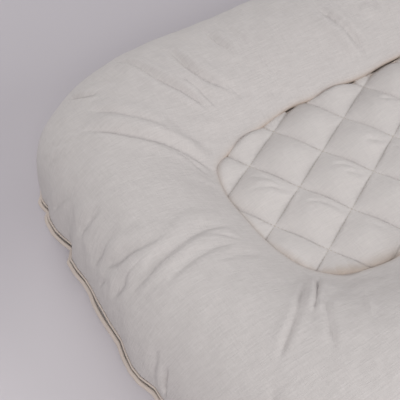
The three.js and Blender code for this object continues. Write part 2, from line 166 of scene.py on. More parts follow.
# How much fuller the real cover is than the even plan, in millimetres at ways round the seen end, and how far
# the edge of its opening stands in from the even one there. Both are smoothed over a few steps.
FULLER_WAYS = [1.2, 1.6, 1.9, 2.1, 2.2, 2.3, 2.4, 2.5, 2.6, 2.7, 2.9, 3.3]
FULLER = [2, 3.5, 6, 2, 4, 5, 0.5, -2.5, 7, 2.5, 1, 0]
OPENING_WAYS = [
    1.4, 1.5, 1.65, 1.8, 1.9, 1.98, 2.08, 2.28, 2.37, 2.52, 2.6, 2.64, 2.7, 3.05, 3.25, 3.5, 3.73, 3.9]
OPENING_SHIFT = [0, -0.8, 3, -2, 1, -3, -1, 4, 4, 3.5, 0, -2, 0, 0, 2.7, -0.3, -1, 0]
FULLER_SPREAD, OPENING_SPREAD = 8, 7
SHIFT_POWER = 4
SHIFT_FADE = 0.04
WAY_STEP = 0.005
fine_ways = np.arange(0, 6, WAY_STEP)


def smoothed_steps(at_ways, values, spread):
    """Values given at some ways in millimetres, made into a smooth run round the ring in metres."""
    kernel = np.exp(-np.arange(-3 * spread, 3 * spread + 1) ** 2 / (2 * spread ** 2))
    run = np.interp(fine_ways, at_ways, values, left=0, right=0) * MILLIMETRE
    return np.convolve(run, kernel / kernel.sum(), "same")


fuller_run = smoothed_steps(FULLER_WAYS, FULLER, FULLER_SPREAD)
opening_run = smoothed_steps(OPENING_WAYS, OPENING_SHIFT, OPENING_SPREAD)


def outline(way, inset):
    """Plan points at an inset, with what the real cover adds to the even plan."""
    inner_share = np.clip(inset / BUMPER_WIDTH, 0, 1)
    fuller = np.interp(np.mod(way, 6), fine_ways, fuller_run) * (1 - inner_share)
    past_opening = ease((inset - BUMPER_WIDTH) / SHIFT_FADE)
    shift = np.interp(np.mod(way, 6), fine_ways, opening_run) * inner_share ** SHIFT_POWER
    return plan(way, inset - fuller + shift * (1 - past_opening))


def ring_points(ring_ways, insets, heights):
    """Points round the lounger at insets and heights, a row of them for each way."""
    insets, heights = np.broadcast_arrays(insets, heights)
    places = outline(ring_ways[:, None], insets)
    return np.concatenate([places, np.broadcast_to(heights, places.shape[:2])[..., None]], -1)


# The rings lie closer together round the end that the photograph shows.
SEEN_END = (1.8, 4.6)
SEEN_END_FADE = 0.5
FINE_STEPS = 6000


def even_ways(count, inset, seen_weight=1.0):
    """Ways that lie evenly along the outline at an inset, and closer together round the seen end."""
    fine = np.linspace(0, 6, FINE_STEPS + 1)
    steps = np.linalg.norm(np.diff(plan(fine, inset), axis=0), axis=1)
    steps *= 1 + (seen_weight - 1) * window((fine[:-1] + fine[1:]) / 2, *SEEN_END, SEEN_END_FADE)
    travelled = np.concatenate([[0], np.cumsum(steps)])
    return np.interp(np.linspace(0, travelled[-1], count, endpoint=False), travelled, fine)


def lengths_along(points, axis=0):
    """How far along its own line each point lies."""
    steps = np.linalg.norm(np.diff(points, axis=axis), axis=-1)
    return np.insert(np.cumsum(steps, axis=axis), 0, 0, axis=axis)


def mesh_object(name, points, faces, places=None, seam_share=None):
    """A piece from points and faces. places gives each point its place on the flat cloth, in metres, and
    the last argument gives each point its share of painted shade, from 0 to 1, which grows as it lies closer
    to a seam."""
    mesh = bpy.data.meshes.new(name)
    mesh.from_pydata(np.asarray(points, float).tolist(), [], [list(map(int, f)) for f in faces])
    mesh.polygons.foreach_set("use_smooth", [True] * len(mesh.polygons))
    if places is not None:
        corners = np.zeros(len(mesh.loops), int)
        mesh.loops.foreach_get("vertex_index", corners)
        layer = mesh.uv_layers.new(name="cloth")
        layer.data.foreach_set("uv", np.asarray(places, np.float32)[corners].ravel())
    # Painted shade: a share for each point, by which the material tints the cloth's colour darker and warmer.
    if seam_share is not None:
        shares = mesh.attributes.new("seam_share", "FLOAT", "POINT")
        shares.data.foreach_set("value", np.asarray(seam_share, np.float32))
    mesh.update()
    return in_scene(name, mesh)


def ring_faces(rings, rows, closed=False, joined=True):
    """Quads between neighbouring rings. closed joins the last row to the first, and joined the last ring."""
    i, j = np.meshgrid(
        np.arange(rings if joined else rings - 1), np.arange(rows if closed else rows - 1), indexing="ij")
    ahead, up = (i + 1) % rings, (j + 1) % rows
    return np.stack([i * rows + j, ahead * rows + j, ahead * rows + up, i * rows + up], -1).reshape(-1, 4)


def baked(piece):
    """Applies the piece's modifiers and leaves a plain mesh."""
    graph = bpy.context.evaluated_depsgraph_get()
    mesh = bpy.data.meshes.new_from_object(
        piece.evaluated_get(graph), preserve_all_data_layers=True, depsgraph=graph)
    piece.modifiers.clear()
    piece.data = mesh
    return piece


def thickened(piece, thickness):
    """Gives a cloth its thickness, on its inner side."""
    solidify = piece.modifiers.new("cloth", "SOLIDIFY")
    solidify.thickness = thickness
    solidify.offset = -1
    solidify.use_even_offset = False
    return baked(piece)


SEEN_WEIGHT = 3.0
ways = even_ways(RINGS, CREST_INSET, SEEN_WEIGHT)

# The zip's line as the photograph shows it round the end, and how far its slit opens there, in millimetres.
# The line turns in sharply at two puckers. Each pixel is looked up among trial ways and insets.
ZIP_LINE = [
    ((42, 200), 0.3), ((46, 206), 0.4), ((51, 211), 0.5), ((48.5, 216), 0.7), ((50, 222), 1.1),
    ((56, 232), 0.9), ((66, 241), 0.7), ((74.5, 247.5), 0.6), ((73, 255), 0.4), ((71, 260), 0.6),
    ((77, 270), 0.7), ((86, 281), 0.6), ((92, 291), 0.9), ((96, 300), 1.5), ((110, 325), 1.5),
    ((121, 342), 1.6), ((126, 355), 1.4), ((132, 368), 0.4), ((140, 378), 0.1), ((155, 389), 0.1),
    ((162, 400), 0.1),
]
TRIAL_WAYS = np.linspace(2, 4.3, 2301)
TRIAL_INSETS = np.linspace(-0.008, 0.016, 97)
SEEN_MARGIN = 0.10
trial_points = outline(TRIAL_WAYS[:, None], TRIAL_INSETS)
seen_ways, seen_insets = [], []
for pixel, _ in ZIP_LINE:
    miss = np.linalg.norm(trial_points - np.array(on_height(pixel, ZIP_HEIGHT))[:2], axis=-1)
    nearest_way, nearest_inset = np.unravel_index(miss.argmin(), miss.shape)
    seen_ways.append(TRIAL_WAYS[nearest_way])
    seen_insets.append(TRIAL_INSETS[nearest_inset])
seen_opens = [opens * MILLIMETRE for _, opens in ZIP_LINE]


def in_seen_part(way):
    """1 where the photograph shows the zip's line, and 0 elsewhere."""
    return window(way, seen_ways[0] - SEEN_MARGIN, seen_ways[-1] + SEEN_MARGIN, SEEN_MARGIN)


# Along the straight sides the slider runs, so the line is straight there. At the ends it puckers a little.
PUCKER = 0.0013
PUCKER_WAVES = [(PUCKER, 13.1, 0), (0.7 * PUCKER, 31.3, 1), (0.5 * PUCKER, 57.7, 2)]
SIDE_END, SIDE_FADE = 0.125, 0.03


def zip_inset(way):
    """The inset of the zip's line."""
    at_ends = ease((np.abs(plan(way, ZIP_INSET)[..., 0]) - SIDE_END) / SIDE_FADE)
    unseen = ZIP_INSET + waves(way, PUCKER_WAVES) * at_ends
    return mixed(unseen, np.interp(way, seen_ways, seen_insets), in_seen_part(way))


# Along the sides the slit has room for the slider. It is narrow round the end, and sewn shut past the zip.
SLIT_ALONG_SIDES, SLIT_ROUND_END, SLIT_SEWN = 0.0046, 0.0007, 0.00015
SLIT_FADE = 0.060
SLIT_SIDE_START = -0.1048
ZIP_REACH = 0.112
LEAST_OPEN = 0.0004


def slit_half(way):
    """Half the height of the slit between the two lips."""
    x = plan(way, ZIP_INSET)[..., 0]
    zipped = mixed(SLIT_ALONG_SIDES, SLIT_ROUND_END, ease((SLIT_SIDE_START - x) / SLIT_FADE))
    return mixed(zipped, SLIT_SEWN, ease((x - ZIP_REACH) / SLIT_FADE))


def slit_open(way):
    """How far the two edges stand apart in plan, where the slit is seen from above."""
    return mixed(LEAST_OPEN, np.interp(way, seen_ways, seen_opens), in_seen_part(way))


# Along the sides the cover bulges over its hem. Round the seen end it falls straight to it, so that the slit
# shows. The hem follows the zip's puckers, and higher up they fade.
STRAIGHT_FALL = (2.45, 4.15)
STRAIGHT_FALL_FADES = (0.25, 0.40)
SHOULDER_EXPONENT = 2.4
PUCKER_HEIGHT = 0.009
HEM_GAP, HEM_RISE = 0.0003, 0.0006
EDGE_SHARE = 0.35
EVENED_RINGS = 20


def evened(values, width):
    """Values round the ring, smoothed over a number of rings."""
    kernel = np.exp(-np.linspace(-2, 2, 2 * width + 1) ** 2)
    padded = np.concatenate([values[-width:], values, values[:width]])
    return np.convolve(padded, kernel / kernel.sum(), "valid")


# On the inner side the bumper falls to the panel. Just before the seam the cover rolls over the panel's edge
# and tucks in under itself.
FALL_EASE_SHARE = 0.6
ROLL_START_SHARE = 0.955
ROLL_FIRST_TURN, ROLL_LAST_TURN = math.radians(38), math.radians(160)
ROLL_REACH, ROLL_DROP = 0.0046, 0.0044


def shoulder(rows):
    """Along and up, from 0 to 1, on a quarter that is a little fuller than a round one."""
    turn = np.linspace(0, np.pi / 2, rows, endpoint=False)
    return 1 - np.cos(turn) ** (2 / SHOULDER_EXPONENT), np.sin(turn) ** (2 / SHOULDER_EXPONENT)


def inner_side(share):
    """The inset and height at a share of the way from the crest to the seam."""
    fallen = share * share * (1 + FALL_EASE_SHARE * (1 - share))
    return mixed(CREST_INSET, BUMPER_WIDTH, share), mixed(CREST_HEIGHT, SEAM_HEIGHT, fallen)


def bumper_section(way):
    """The bumper's outside from the hem to the panel's seam: insets and heights, a list for each ring."""
    ones = np.ones((len(way), 1))
    drawn = zip_inset(way) + HEM_GAP + EDGE_SHARE * slit_open(way)
    hem_inset = evened(drawn, EVENED_RINGS)[:, None]
    hem_height = (ZIP_HEIGHT + slit_half(way) + HEM_RISE)[:, None]
    up = np.linspace(0, 1, HEM_ROWS, endpoint=False)
    along, rise = shoulder(CROWN_ROWS)
    crown_height = ones * mixed(BULGE_HEIGHT, CREST_HEIGHT, rise)
    bulging_inset = np.hstack([hem_inset * (1 - np.sin(up * np.pi / 2)), ones * CREST_INSET * along])
    bulging_height = np.hstack([mixed(hem_height, BULGE_HEIGHT, up), crown_height])
    along, rise = shoulder(HEM_ROWS + CROWN_ROWS)
    straight = window(way, *STRAIGHT_FALL, *STRAIGHT_FALL_FADES)[:, None]
    outer_inset = mixed(bulging_inset, mixed(hem_inset, CREST_INSET, along), straight)
    outer_height = mixed(bulging_height, mixed(hem_height, CREST_HEIGHT, rise), straight)
    outer_inset += (drawn[:, None] - hem_inset) * np.exp(-(outer_height - hem_height) / PUCKER_HEIGHT)
    fall_inset, fall_height = inner_side(np.linspace(0, ROLL_START_SHARE, FALL_ROWS, endpoint=False))
    roll_inset, roll_height = inner_side(ROLL_START_SHARE)
    turn = np.linspace(ROLL_FIRST_TURN, ROLL_LAST_TURN, ROLL_ROWS)
    roll_inset = roll_inset + ROLL_REACH * (np.sin(turn) - np.sin(ROLL_FIRST_TURN))
    roll_height = roll_height - ROLL_DROP * (np.cos(ROLL_FIRST_TURN) - np.cos(turn))
    return (np.hstack([outer_inset, ones * fall_inset, ones * roll_inset]),
            np.hstack([outer_height, ones * fall_height, ones * roll_height]))


insets, heights = bumper_section(ways)
ROWS = insets.shape[1]
cover_points = ring_points(ways, insets, heights)
cover_faces = ring_faces(RINGS, ROWS)


def surface_normals(grid):
    """Which way is out at each point of a grid of rings."""
    along = np.roll(grid, -1, axis=0) - np.roll(grid, 1, axis=0)
    normal = np.cross(along, np.gradient(grid, axis=1))
    return normal / np.maximum(np.linalg.norm(normal, axis=-1, keepdims=True), 1e-12)


smooth_tree = BVHTree.FromPolygons(cover_points.reshape(-1, 3).tolist(), cover_faces.tolist())
PATH_STEPS, PATH_PASSES = 30, 4


def smooth_path(points):
    """Even steps along a line of points, with its corners rounded."""
    points = np.array([tuple(p) for p in points])
    length = lengths_along(points)
    places = np.linspace(0, length[-1], PATH_STEPS)
    path = np.stack([np.interp(places, length, points[:, k]) for k in range(3)], -1)
    for _ in range(PATH_PASSES):
        path[1:-1] = (path[:-2] + 2 * path[1:-1] + path[2:]) / 4
    return path


def seen_path(pixels):
    """A smooth path on the bumper through pixels of the photograph."""
    hits = [smooth_tree.ray_cast(CAMERA_PLACE, sight_line(p))[0] for p in pixels]
    return smooth_path([h for h in hits if h is not None])


# The section of a fold, in widths of its valley.
FOLD_REACH = 9
BROAD_SLOPE, STEEP_SLOPE, SLOPE_POWER = 1.8, 0.8, 1.5
RIDGE_PLACE, RIDGE_SPREAD = 3.6, 2.6
LESSER_PLACE, LESSER_SPREAD, LESSER_SHARE = -2.4, 2.0, 0.45
END_WIDTH_SHARE = 0.7


def press_fold(grid, normals, path, depth, width, ridge, fade_in=0.22, fade_out=0.35):
    """Presses a crease along the path. On its left side (ridge above 0) or right side (below 0) the cloth
    comes down to it in a broad slope from a low ridge, and on the other side it rises steeply."""
    flat = grid.reshape(-1, 3)
    reach = width * FOLD_REACH
    near = np.all((flat > path.min(0) - reach) & (flat < path.max(0) + reach), axis=1)
    points, outward = flat[near], normals.reshape(-1, 3)[near]
    start, step = path[:-1], np.diff(path, axis=0)
    offset = points[:, None] - start[None]
    share = np.clip((offset * step).sum(-1) / (step * step).sum(-1), 0, 1)
    gap = offset - share[..., None] * step
    distance = np.linalg.norm(gap, axis=-1)
    best = distance.argmin(1)
    pick = np.arange(len(points))
    travelled = (best + share[pick, best]) / len(step)
    side = np.sign((np.cross(step[best], gap[pick, best]) * outward).sum(-1))
    fade = window(travelled, 0, 1, fade_in, fade_out)
    away = distance[pick, best] * side * np.sign(ridge) / (width * mixed(END_WIDTH_SHARE, 1, fade))
    valley = np.exp(-(np.abs(away) / np.where(away > 0, BROAD_SLOPE, STEEP_SLOPE)) ** SLOPE_POWER)
    ridges = (np.exp(-((away - RIDGE_PLACE) / RIDGE_SPREAD) ** 2)
              + LESSER_SHARE * np.exp(-((away - LESSER_PLACE) / LESSER_SPREAD) ** 2))
    flat[near] += outward * (depth * fade * (abs(ridge) * ridges - valley))[:, None]


# Folds that the photograph shows: pixels from end to end, depth and width in millimetres, and the side and
# share of the ridge.
SEEN_FOLDS = [
    ([(76, 130), (100, 130), (120, 133), (140, 137), (160, 142), (178, 149), (198, 160), (218, 174)],
     5.2, 3.1, 0.9),
    ([(146, 145), (162, 149), (180, 156), (200, 168), (214, 179)], 1.4, 1.8, 0.6),
    ([(84, 110), (100, 111), (120, 114), (134, 117), (150, 123), (164, 131), (180, 140)], 3.4, 2.8, 0.5),
    ([(112, 62), (125, 65), (140, 71), (160, 80), (180, 89), (200, 101), (209, 110), (213, 119)],
     4.6, 2.4, 0.6),
    ([(146, 42), (160, 50), (178, 60), (190, 69), (204, 78), (222, 86), (236, 95)], 4.6, 2.6, 0.6),
    ([(172, 76), (186, 82), (200, 91), (210, 100), (220, 111)], 2.6, 2.2, 0.6),
    ([(186, 23), (203, 32), (220, 43), (238, 56)], 3, 2.2, 0.6),
    ([(206, 18), (222, 26), (238, 36), (250, 46)], 1.8, 2.4, 0.6),
    ([(216, 76), (228, 84), (240, 96), (248, 104)], 1, 2, 0.6),
    ([(252, 52), (262, 60), (274, 72), (284, 88)], 0.7, 2, 0.6),
    ([(66, 100), (80, 97), (92, 95), (104, 91)], 3.4, 1.8, 0.6),
    ([(88, 86), (100, 82), (112, 81)], 1, 1.8, 0.6),
    ([(42, 152), (56, 146), (72, 140), (86, 137)], 1, 2, 0.6),
    ([(44, 168), (58, 158), (74, 151)], 0.8, 2.2, 0.6),
    ([(316, 6), (324, 12), (334, 18), (345, 27), (355, 38), (363, 49), (369, 61)], 5, 3, -0.9),
    ([(362, -3), (372, 2), (381, 11)], 3.4, 2.8, -0.7),
    ([(100, 268), (110, 265), (118, 262), (126, 256), (134, 250), (144, 246), (154, 241), (162, 236),
      (174, 229)], 3.4, 3.6, 0.7),
    ([(126, 303), (134, 294), (141, 285), (146, 277), (152, 269), (159, 262), (166, 256), (174, 250),
      (182, 243), (190, 237), (200, 231), (212, 227), (224, 226), (242, 228)], 3.4, 3.6, 0.7),
    ([(112, 301), (118, 294), (124, 287), (128, 280), (133, 273), (138, 267), (144, 260), (152, 252)],
     2.8, 2.6, 0.6),
    ([(156, 292), (166, 284), (174, 277), (182, 268), (192, 259), (204, 252), (218, 246), (232, 243),
      (248, 241)], 2, 3.4, 0.6),
    ([(204, 235), (216, 234), (228, 236), (244, 240)], 1.4, 1.8, 0.6),
    ([(144, 302), (152, 292), (160, 284), (168, 276)], 1.2, 2, 0.6),
    ([(78, 238), (86, 226), (94, 216), (104, 206)], 3, 3.6, 0.6),
    ([(212, 262), (232, 256), (252, 253), (266, 254)], 1.2, 3, 0.6),
    ([(92, 268), (102, 252), (112, 238), (122, 224)], 2.6, 3.8, 0.6),
    ([(52, 212), (62, 202), (74, 194)], 1.4, 2.2, 0.6),
    ([(92, 290), (99, 286), (107, 280)], 2, 1.6, 0.6),
    ([(100, 196), (120, 186), (150, 178), (172, 178)], 0.6, 2.2, 0.6),
    ([(276, 366), (284, 350), (290, 336), (296, 320), (301, 306), (305, 293), (310, 278)], 2.4, 1.8, 0.7),
    ([(313, 318), (316, 306), (318, 294), (319, 284), (320, 275)], 4.8, 1.5, 0.6),
    ([(337, 352), (334, 338), (331, 324), (328, 311), (324, 298), (322, 288)], 2.4, 2, 0.6),
    ([(374, 320), (370, 302), (360, 288), (350, 277)], -1, 2, 0.5),
    ([(167, 406), (165, 397), (164, 387), (165, 377), (167, 366)], 6, 1.7, 0.15),
    ([(152, 376), (156, 362), (160, 345)], 1.2, 2.6, 0.5),
    ([(134, 372), (146, 360), (160, 352)], 1, 2.2, 0.5),
]

# Elsewhere the folds start at the panel's seam or at the hem, at seeded places. Starts and ends are shares of
# the way from the hem to the seam.
HIDDEN_FOLDS = 54
SEED = 7
SPOT_RANGE = (0.15, 0.85)
FROM_HEM, FROM_SEAM = (0.03, 0.22, 0.45), (0.95, 0.42, 0.72)
LEAN = 0.05
HIDDEN_DEPTHS, HIDDEN_WIDTHS = (0.0014, 0.0030), (0.0018, 0.0030)
HIDDEN_RIDGE = 0.6
PATH_POINTS = 7
FRAME_MARGIN = 10
chance = np.random.default_rng(SEED)


def on_cover(way, row_share):
    """The cover's point at a share of the way from the hem to the seam."""
    ring = np.mod(np.searchsorted(ways, np.mod(way, 6.0)), RINGS)
    return cover_points[ring, int(round(np.clip(row_share, 0, 1) * (ROWS - 1)))]


def hidden_fold(number):
    """The path, depth, width and ridge of one seeded fold."""
    way = 6 * (number + chance.uniform(*SPOT_RANGE)) / HIDDEN_FOLDS
    start, least, most = FROM_SEAM if number % 3 else FROM_HEM
    end = chance.uniform(least, most)
    lean = chance.normal(0, LEAN)
    path = [on_cover(way + lean * s * s, mixed(start, end, s)) for s in np.linspace(0, 1, PATH_POINTS)]
    return (path, chance.uniform(*HIDDEN_DEPTHS), chance.uniform(*HIDDEN_WIDTHS),
            chance.choice([-HIDDEN_RIDGE, HIDDEN_RIDGE]))


def in_view(path):
    """True where the photograph shows the cover, so that only its own folds are made there."""
    pixel = photo_pixels(path[len(path) // 2])
    return bool(np.all((pixel > -FRAME_MARGIN) & (pixel < PHOTO_SIDE + FRAME_MARGIN)))


# The cover is a little larger than its seams, and the fibre presses it out, so it settles in small creases.
# A cloth simulation on every second point finds them. Only its fine part is kept, and that is capped, so that
# the bumper keeps its measured shape.
SIMULATED_STEP = 2
EXTRA_CLOTH = 0.025
FIBRE_PRESSURE = 4
COTTON = {
    "quality": 4, "mass": 0.15, "tension_stiffness": 12, "compression_stiffness": 12, "shear_stiffness": 4,
    "bending_stiffness": 0.15, "use_pressure": True, "uniform_pressure_force": FIBRE_PRESSURE,
    "shrink_min": -EXTRA_CLOTH, "shrink_max": -EXTRA_CLOTH, "vertex_group_mass": "sewn",
}
LAST_FRAME = 20
CREASE_SHARE, CREASE_CAP = 0.4, 0.0015
CALM_PASSES, CREASE_PASSES = 30, 2


def calmed(values, passes):
    """Evens out the small folds along and across the grid."""
    for _ in range(passes):
        values = (np.roll(values, 1, axis=0) + 2 * values + np.roll(values, -1, axis=0)) / 4
        between = (values[:, :-2] + 2 * values[:, 1:-1] + values[:, 2:]) / 4
        values = np.concatenate([values[:, :1], between, values[:, -1:]], axis=1)
    return values


def settled_creases(grid):
    """How far the simulated cloth's creases stand out of each point of the grid."""
    coarse = grid[::SIMULATED_STEP, :HEM_ROWS + CROWN_ROWS + FALL_ROWS + 1:SIMULATED_STEP]
    rings, rows = coarse.shape[:2]
    cloth_piece = mesh_object("settling_cloth", coarse.reshape(-1, 3), ring_faces(rings, rows))
    numbers = np.arange(rings * rows).reshape(rings, rows)
    sewn = cloth_piece.vertex_groups.new(name="sewn")
    sewn.add(numbers.ravel().tolist(), 0.0, "REPLACE")
    sewn.add(numbers[:, [0, 1, -1]].ravel().tolist(), 1.0, "REPLACE")
    cloth = cloth_piece.modifiers.new("cloth", "CLOTH")
    for setting, value in COTTON.items():
        setattr(cloth.settings, setting, value)
    cloth.settings.effector_weights.gravity = 0
    cloth.collision_settings.use_collision = False
    cloth.point_cache.frame_end = LAST_FRAME
    for step in range(1, LAST_FRAME + 1):
        bpy.context.scene.frame_set(step)
    baked(cloth_piece)
    settled = np.zeros(rings * rows * 3)
    cloth_piece.data.vertices.foreach_get("co", settled)
    bpy.data.objects.remove(cloth_piece)
    bpy.context.scene.frame_set(1)
    raised = ((settled.reshape(rings, rows, 3) - coarse) * surface_normals(coarse)).sum(-1)
    fine = CREASE_CAP * np.tanh(CREASE_SHARE * (raised - calmed(raised, CALM_PASSES)) / CREASE_CAP)
    ring_places, row_places = np.arange(RINGS) / SIMULATED_STEP, np.arange(ROWS) / SIMULATED_STEP
    around = np.stack(
        [np.interp(ring_places, np.arange(rings), column, period=rings) for column in fine.T], -1)
    return calmed(np.stack([np.interp(row_places, np.arange(rows), ring) for ring in around]), CREASE_PASSES)


# The fibre behind the cover is uneven in broad, low lumps. Each row gives a height, the least and greatest
# phase per metre in radians, and how many waves there are. Near hem and seam the cover is held.
LUMPS = [(0.0011, 18, 60, 7), (0.00024, 80, 200, 14)]
WAVE_SHARE = 1 / 3
HELD_SHARE = 0.12
lumps = np.zeros(cover_points.shape[:2])
for height, least, most, count in LUMPS:
    for _ in range(count):
        along, across = chance.uniform(least, most), chance.uniform(-most, most)
        phase = cover_points[..., 0] * along + cover_points[..., 1] * across + chance.uniform(0, 2 * math.pi)
        lumps += height * WAVE_SHARE * np.sin(phase)
row_share = np.linspace(0, 1, ROWS)
creases = settled_creases(cover_points)
raised = (lumps + creases) * window(row_share, 0, 1, HELD_SHARE)
cover_points = cover_points + surface_normals(cover_points) * raised[..., None]
normals = surface_normals(cover_points)
for pixels, depth, width, ridge in SEEN_FOLDS:
    press_fold(cover_points, normals, seen_path(pixels), depth * MILLIMETRE, width * MILLIMETRE, ridge)
for number in range(HIDDEN_FOLDS):
    path, depth, width, ridge = hidden_fold(number)
    if not in_view(path):
        press_fold(cover_points, normals, smooth_path(path), depth, width, ridge)

# The cloth's own place in each point: the ring laid flat, with the threads along and across the lounger.
travelled = lengths_along(np.stack([insets, heights], -1), axis=1)
crest_row = HEM_ROWS + CROWN_ROWS
flat_places = plan(ways[:, None], CREST_INSET + travelled - travelled[:, crest_row:crest_row + 1])

# Where it tucks in, less light comes back from the cloth, so painted shade tints it warmer there.
TUCK_STARTS = 0.90
tuck_painted_shade = np.tile(ease((row_share - TUCK_STARTS) / (1 - TUCK_STARTS)), RINGS)
bumper = mesh_object(
    "bumper_cotton", cover_points.reshape(-1, 3), cover_faces, flat_places.reshape(-1, 2), tuck_painted_shade)
thickened(bumper, COVER_THICKNESS)


def feed(tree, socket, value):
    """Links a socket to another one, or sets it to a value."""
    if isinstance(value, bpy.types.NodeSocket):
        tree.links.new(value, socket)
    else:
        socket.default_value = value


def add_node(tree, kind, **values):
    """A node of a kind, with its properties and inputs set or linked by name."""
    node = tree.nodes.new(kind)
    for name, value in values.items():
        if hasattr(node, name):
            setattr(node, name, value)
        else:
            feed(tree, next(s for s in node.inputs if s.name.replace(" ", "_") == name and s.enabled), value)
    return node


def maths(tree, operation, *values):
    """What a calculation with values or sockets puts out."""
    node = add_node(tree, "ShaderNodeMath", operation=operation)
    for socket, value in zip(node.inputs, values):
        feed(tree, socket, value)
    return node.outputs[0]


MIX_INPUTS, MIX_OUTPUT = (0, 6, 7), 2


def two_tone(tree, share, first, second, blend_type="MIX"):
    """A colour that goes from a first one to a second one with a share."""
    mix = add_node(tree, "ShaderNodeMix", data_type="RGBA", blend_type=blend_type)
    for number, value in zip(MIX_INPUTS, (share, first, second)):
        feed(tree, mix.inputs[number], value)
    return mix.outputs[MIX_OUTPUT]


def group_with(name, inputs, outputs):
    """An empty shader group, with its sockets as (name, type, value)."""
    group = bpy.data.node_groups.new(name, "ShaderNodeTree")
    for label, kind, value in inputs:
        socket = group.interface.new_socket(label, in_out="INPUT", socket_type=kind)
        if value is not None:
            socket.default_value = value
    for label, kind in outputs:
        group.interface.new_socket(label, in_out="OUTPUT", socket_type=kind)
    return group, group.nodes.new("NodeGroupInput"), group.nodes.new("NodeGroupOutput")


# The thicker threads show more along the lounger than across it. Each row gives how often slubs come along
# and across the cloth: two fine rows, then two broad ones.
SLUBS = [(90, 950, 1), (900, 75, 1), (50, 360, 1), (340, 40, 1)]
SLUB_LOW, SLUB_HIGH = 0.35, 0.75
CROSS_SHARE, BROAD_SHARE, THREAD_SHARE = 0.55, 0.5, 0.3


def make_slub_weave():
    """Plain woven cloth with uneven threads. Puts out the cloth's colour and the height of its threads."""
    group, given, out = group_with(
        "slub_weave",
        [("Place", "NodeSocketVector", None), ("Cloth colour", "NodeSocketColor", (0.6, 0.57, 0.54, 1)),
         ("Slub colour", "NodeSocketColor", (0.7, 0.67, 0.62, 1)),
         ("Thread pitch", "NodeSocketFloat", 0.0009), ("Slub strength", "NodeSocketFloat", 0.5)],
        [("Color", "NodeSocketColor"), ("Height", "NodeSocketFloat")],
    )
    place, cloth_colour, slub_colour, pitch, strength = given.outputs[:5]
    split = add_node(group, "ShaderNodeSeparateXYZ", Vector=place)
    turns = [maths(group, "DIVIDE", split.outputs[axis], pitch) for axis in (0, 1)]
    along, across = (maths(group, "SINE", maths(group, "MULTIPLY", turn, math.pi)) for turn in turns)
    threads = maths(group, "ABSOLUTE", maths(group, "MULTIPLY", along, across))
    slubs = []
    for scale in SLUBS:
        stretched = add_node(group, "ShaderNodeMapping", Vector=place, Scale=scale)
        noise = add_node(group, "ShaderNodeTexNoise", Vector=stretched.outputs[0], Scale=1.0, Detail=2.0)
        slub = add_node(
            group, "ShaderNodeMapRange", Value=noise.outputs[0], From_Min=SLUB_LOW, From_Max=SLUB_HIGH)
        slubs.append(slub.outputs[0])
    fine_long, fine_cross, broad_long, broad_cross = slubs
    fine = maths(group, "MULTIPLY_ADD", fine_cross, CROSS_SHARE, fine_long)
    broad = maths(group, "MULTIPLY_ADD", broad_cross, CROSS_SHARE, broad_long)
    uneven = maths(group, "MULTIPLY_ADD", broad, BROAD_SHARE, fine)
    shown = maths(group, "MULTIPLY", uneven, strength)
    feed(group, out.inputs["Color"], two_tone(group, shown, cloth_colour, slub_colour))
    feed(group, out.inputs["Height"], maths(group, "MULTIPLY_ADD", threads, THREAD_SHARE, shown))
    return group


slub_weave = make_slub_weave()


def srgb(red, green, blue):
    """A colour as it reads in the photograph, from 0 to 255, in the linear values that shaders take."""
    share = np.array([red, green, blue]) / 255
    linear = np.where(share <= 0.04045, share / 12.92, ((share + 0.055) / 1.055) ** 2.4)
    return (*linear.tolist(), 1)


def new_material(name):
    """A plain material, and its node tree."""
    material = bpy.data.materials.new(name)
    material.use_nodes = True
    return material, material.node_tree


def shade(tree, **inputs):
    """Sets or links inputs of a material's shader by name."""
    for name, value in inputs.items():
        feed(tree, tree.nodes["Principled BSDF"].inputs[name.replace("_", " ")], value)


def raised_by(tree, height, distance):
    """The normal of a surface that a height raises by up to a distance."""
    return add_node(tree, "ShaderNodeBump", Strength=1.0, Distance=distance, Height=height).outputs[0]


WEAVE_DEPTH = 0.0003


def cloth_material(name, colour, slub_colour, thread_pitch, slub_strength, painted_shade_colour=None):
    """Woven cloth on the piece's own cloth places. Towards a seam, a painted shade colour is multiplied into
    its colour, if given.
    """
    material, tree = new_material(name)
    place = add_node(tree, "ShaderNodeUVMap", uv_map="cloth").outputs[0]
    weave = add_node(tree, "ShaderNodeGroup", node_tree=slub_weave, Place=place, Cloth_colour=colour,
                     Slub_colour=slub_colour, Thread_pitch=thread_pitch, Slub_strength=slub_strength)
    shown = weave.outputs["Color"]
    if painted_shade_colour is not None:
        # Painted shade: the cloth's colour is multiplied by the shade colour, as far as each point's share
        # goes.
        seam = add_node(tree, "ShaderNodeAttribute", attribute_name="seam_share")
        shown = two_tone(tree, seam.outputs["Fac"], shown, painted_shade_colour, "MULTIPLY")
    shade(tree, Base_Color=shown, Normal=raised_by(tree, weave.outputs["Height"], WEAVE_DEPTH), Roughness=0.9,
          Sheen_Weight=0.05, Sheen_Roughness=0.5, Specular_IOR_Level=0.2)
    return material


def finish_piece(piece, material, node, body="lounger"):
    """Gives a piece its material and its body, and hides the CAD node that it stands for."""
    piece.data.materials.clear()
    piece.data.materials.append(material)
    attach(piece, body)
    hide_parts(node)


# The last colour is painted shade, which tints the cloth where it tucks in at the panel's seam.
bumper_cloth = cloth_material(
    "bumper_cotton", srgb(193, 188, 187), srgb(207, 202, 201), thread_pitch=0.0009, slub_strength=0.54,
    painted_shade_colour=srgb(230, 210, 188))
finish_piece(bumper, bumper_cloth, "bumper_cover")


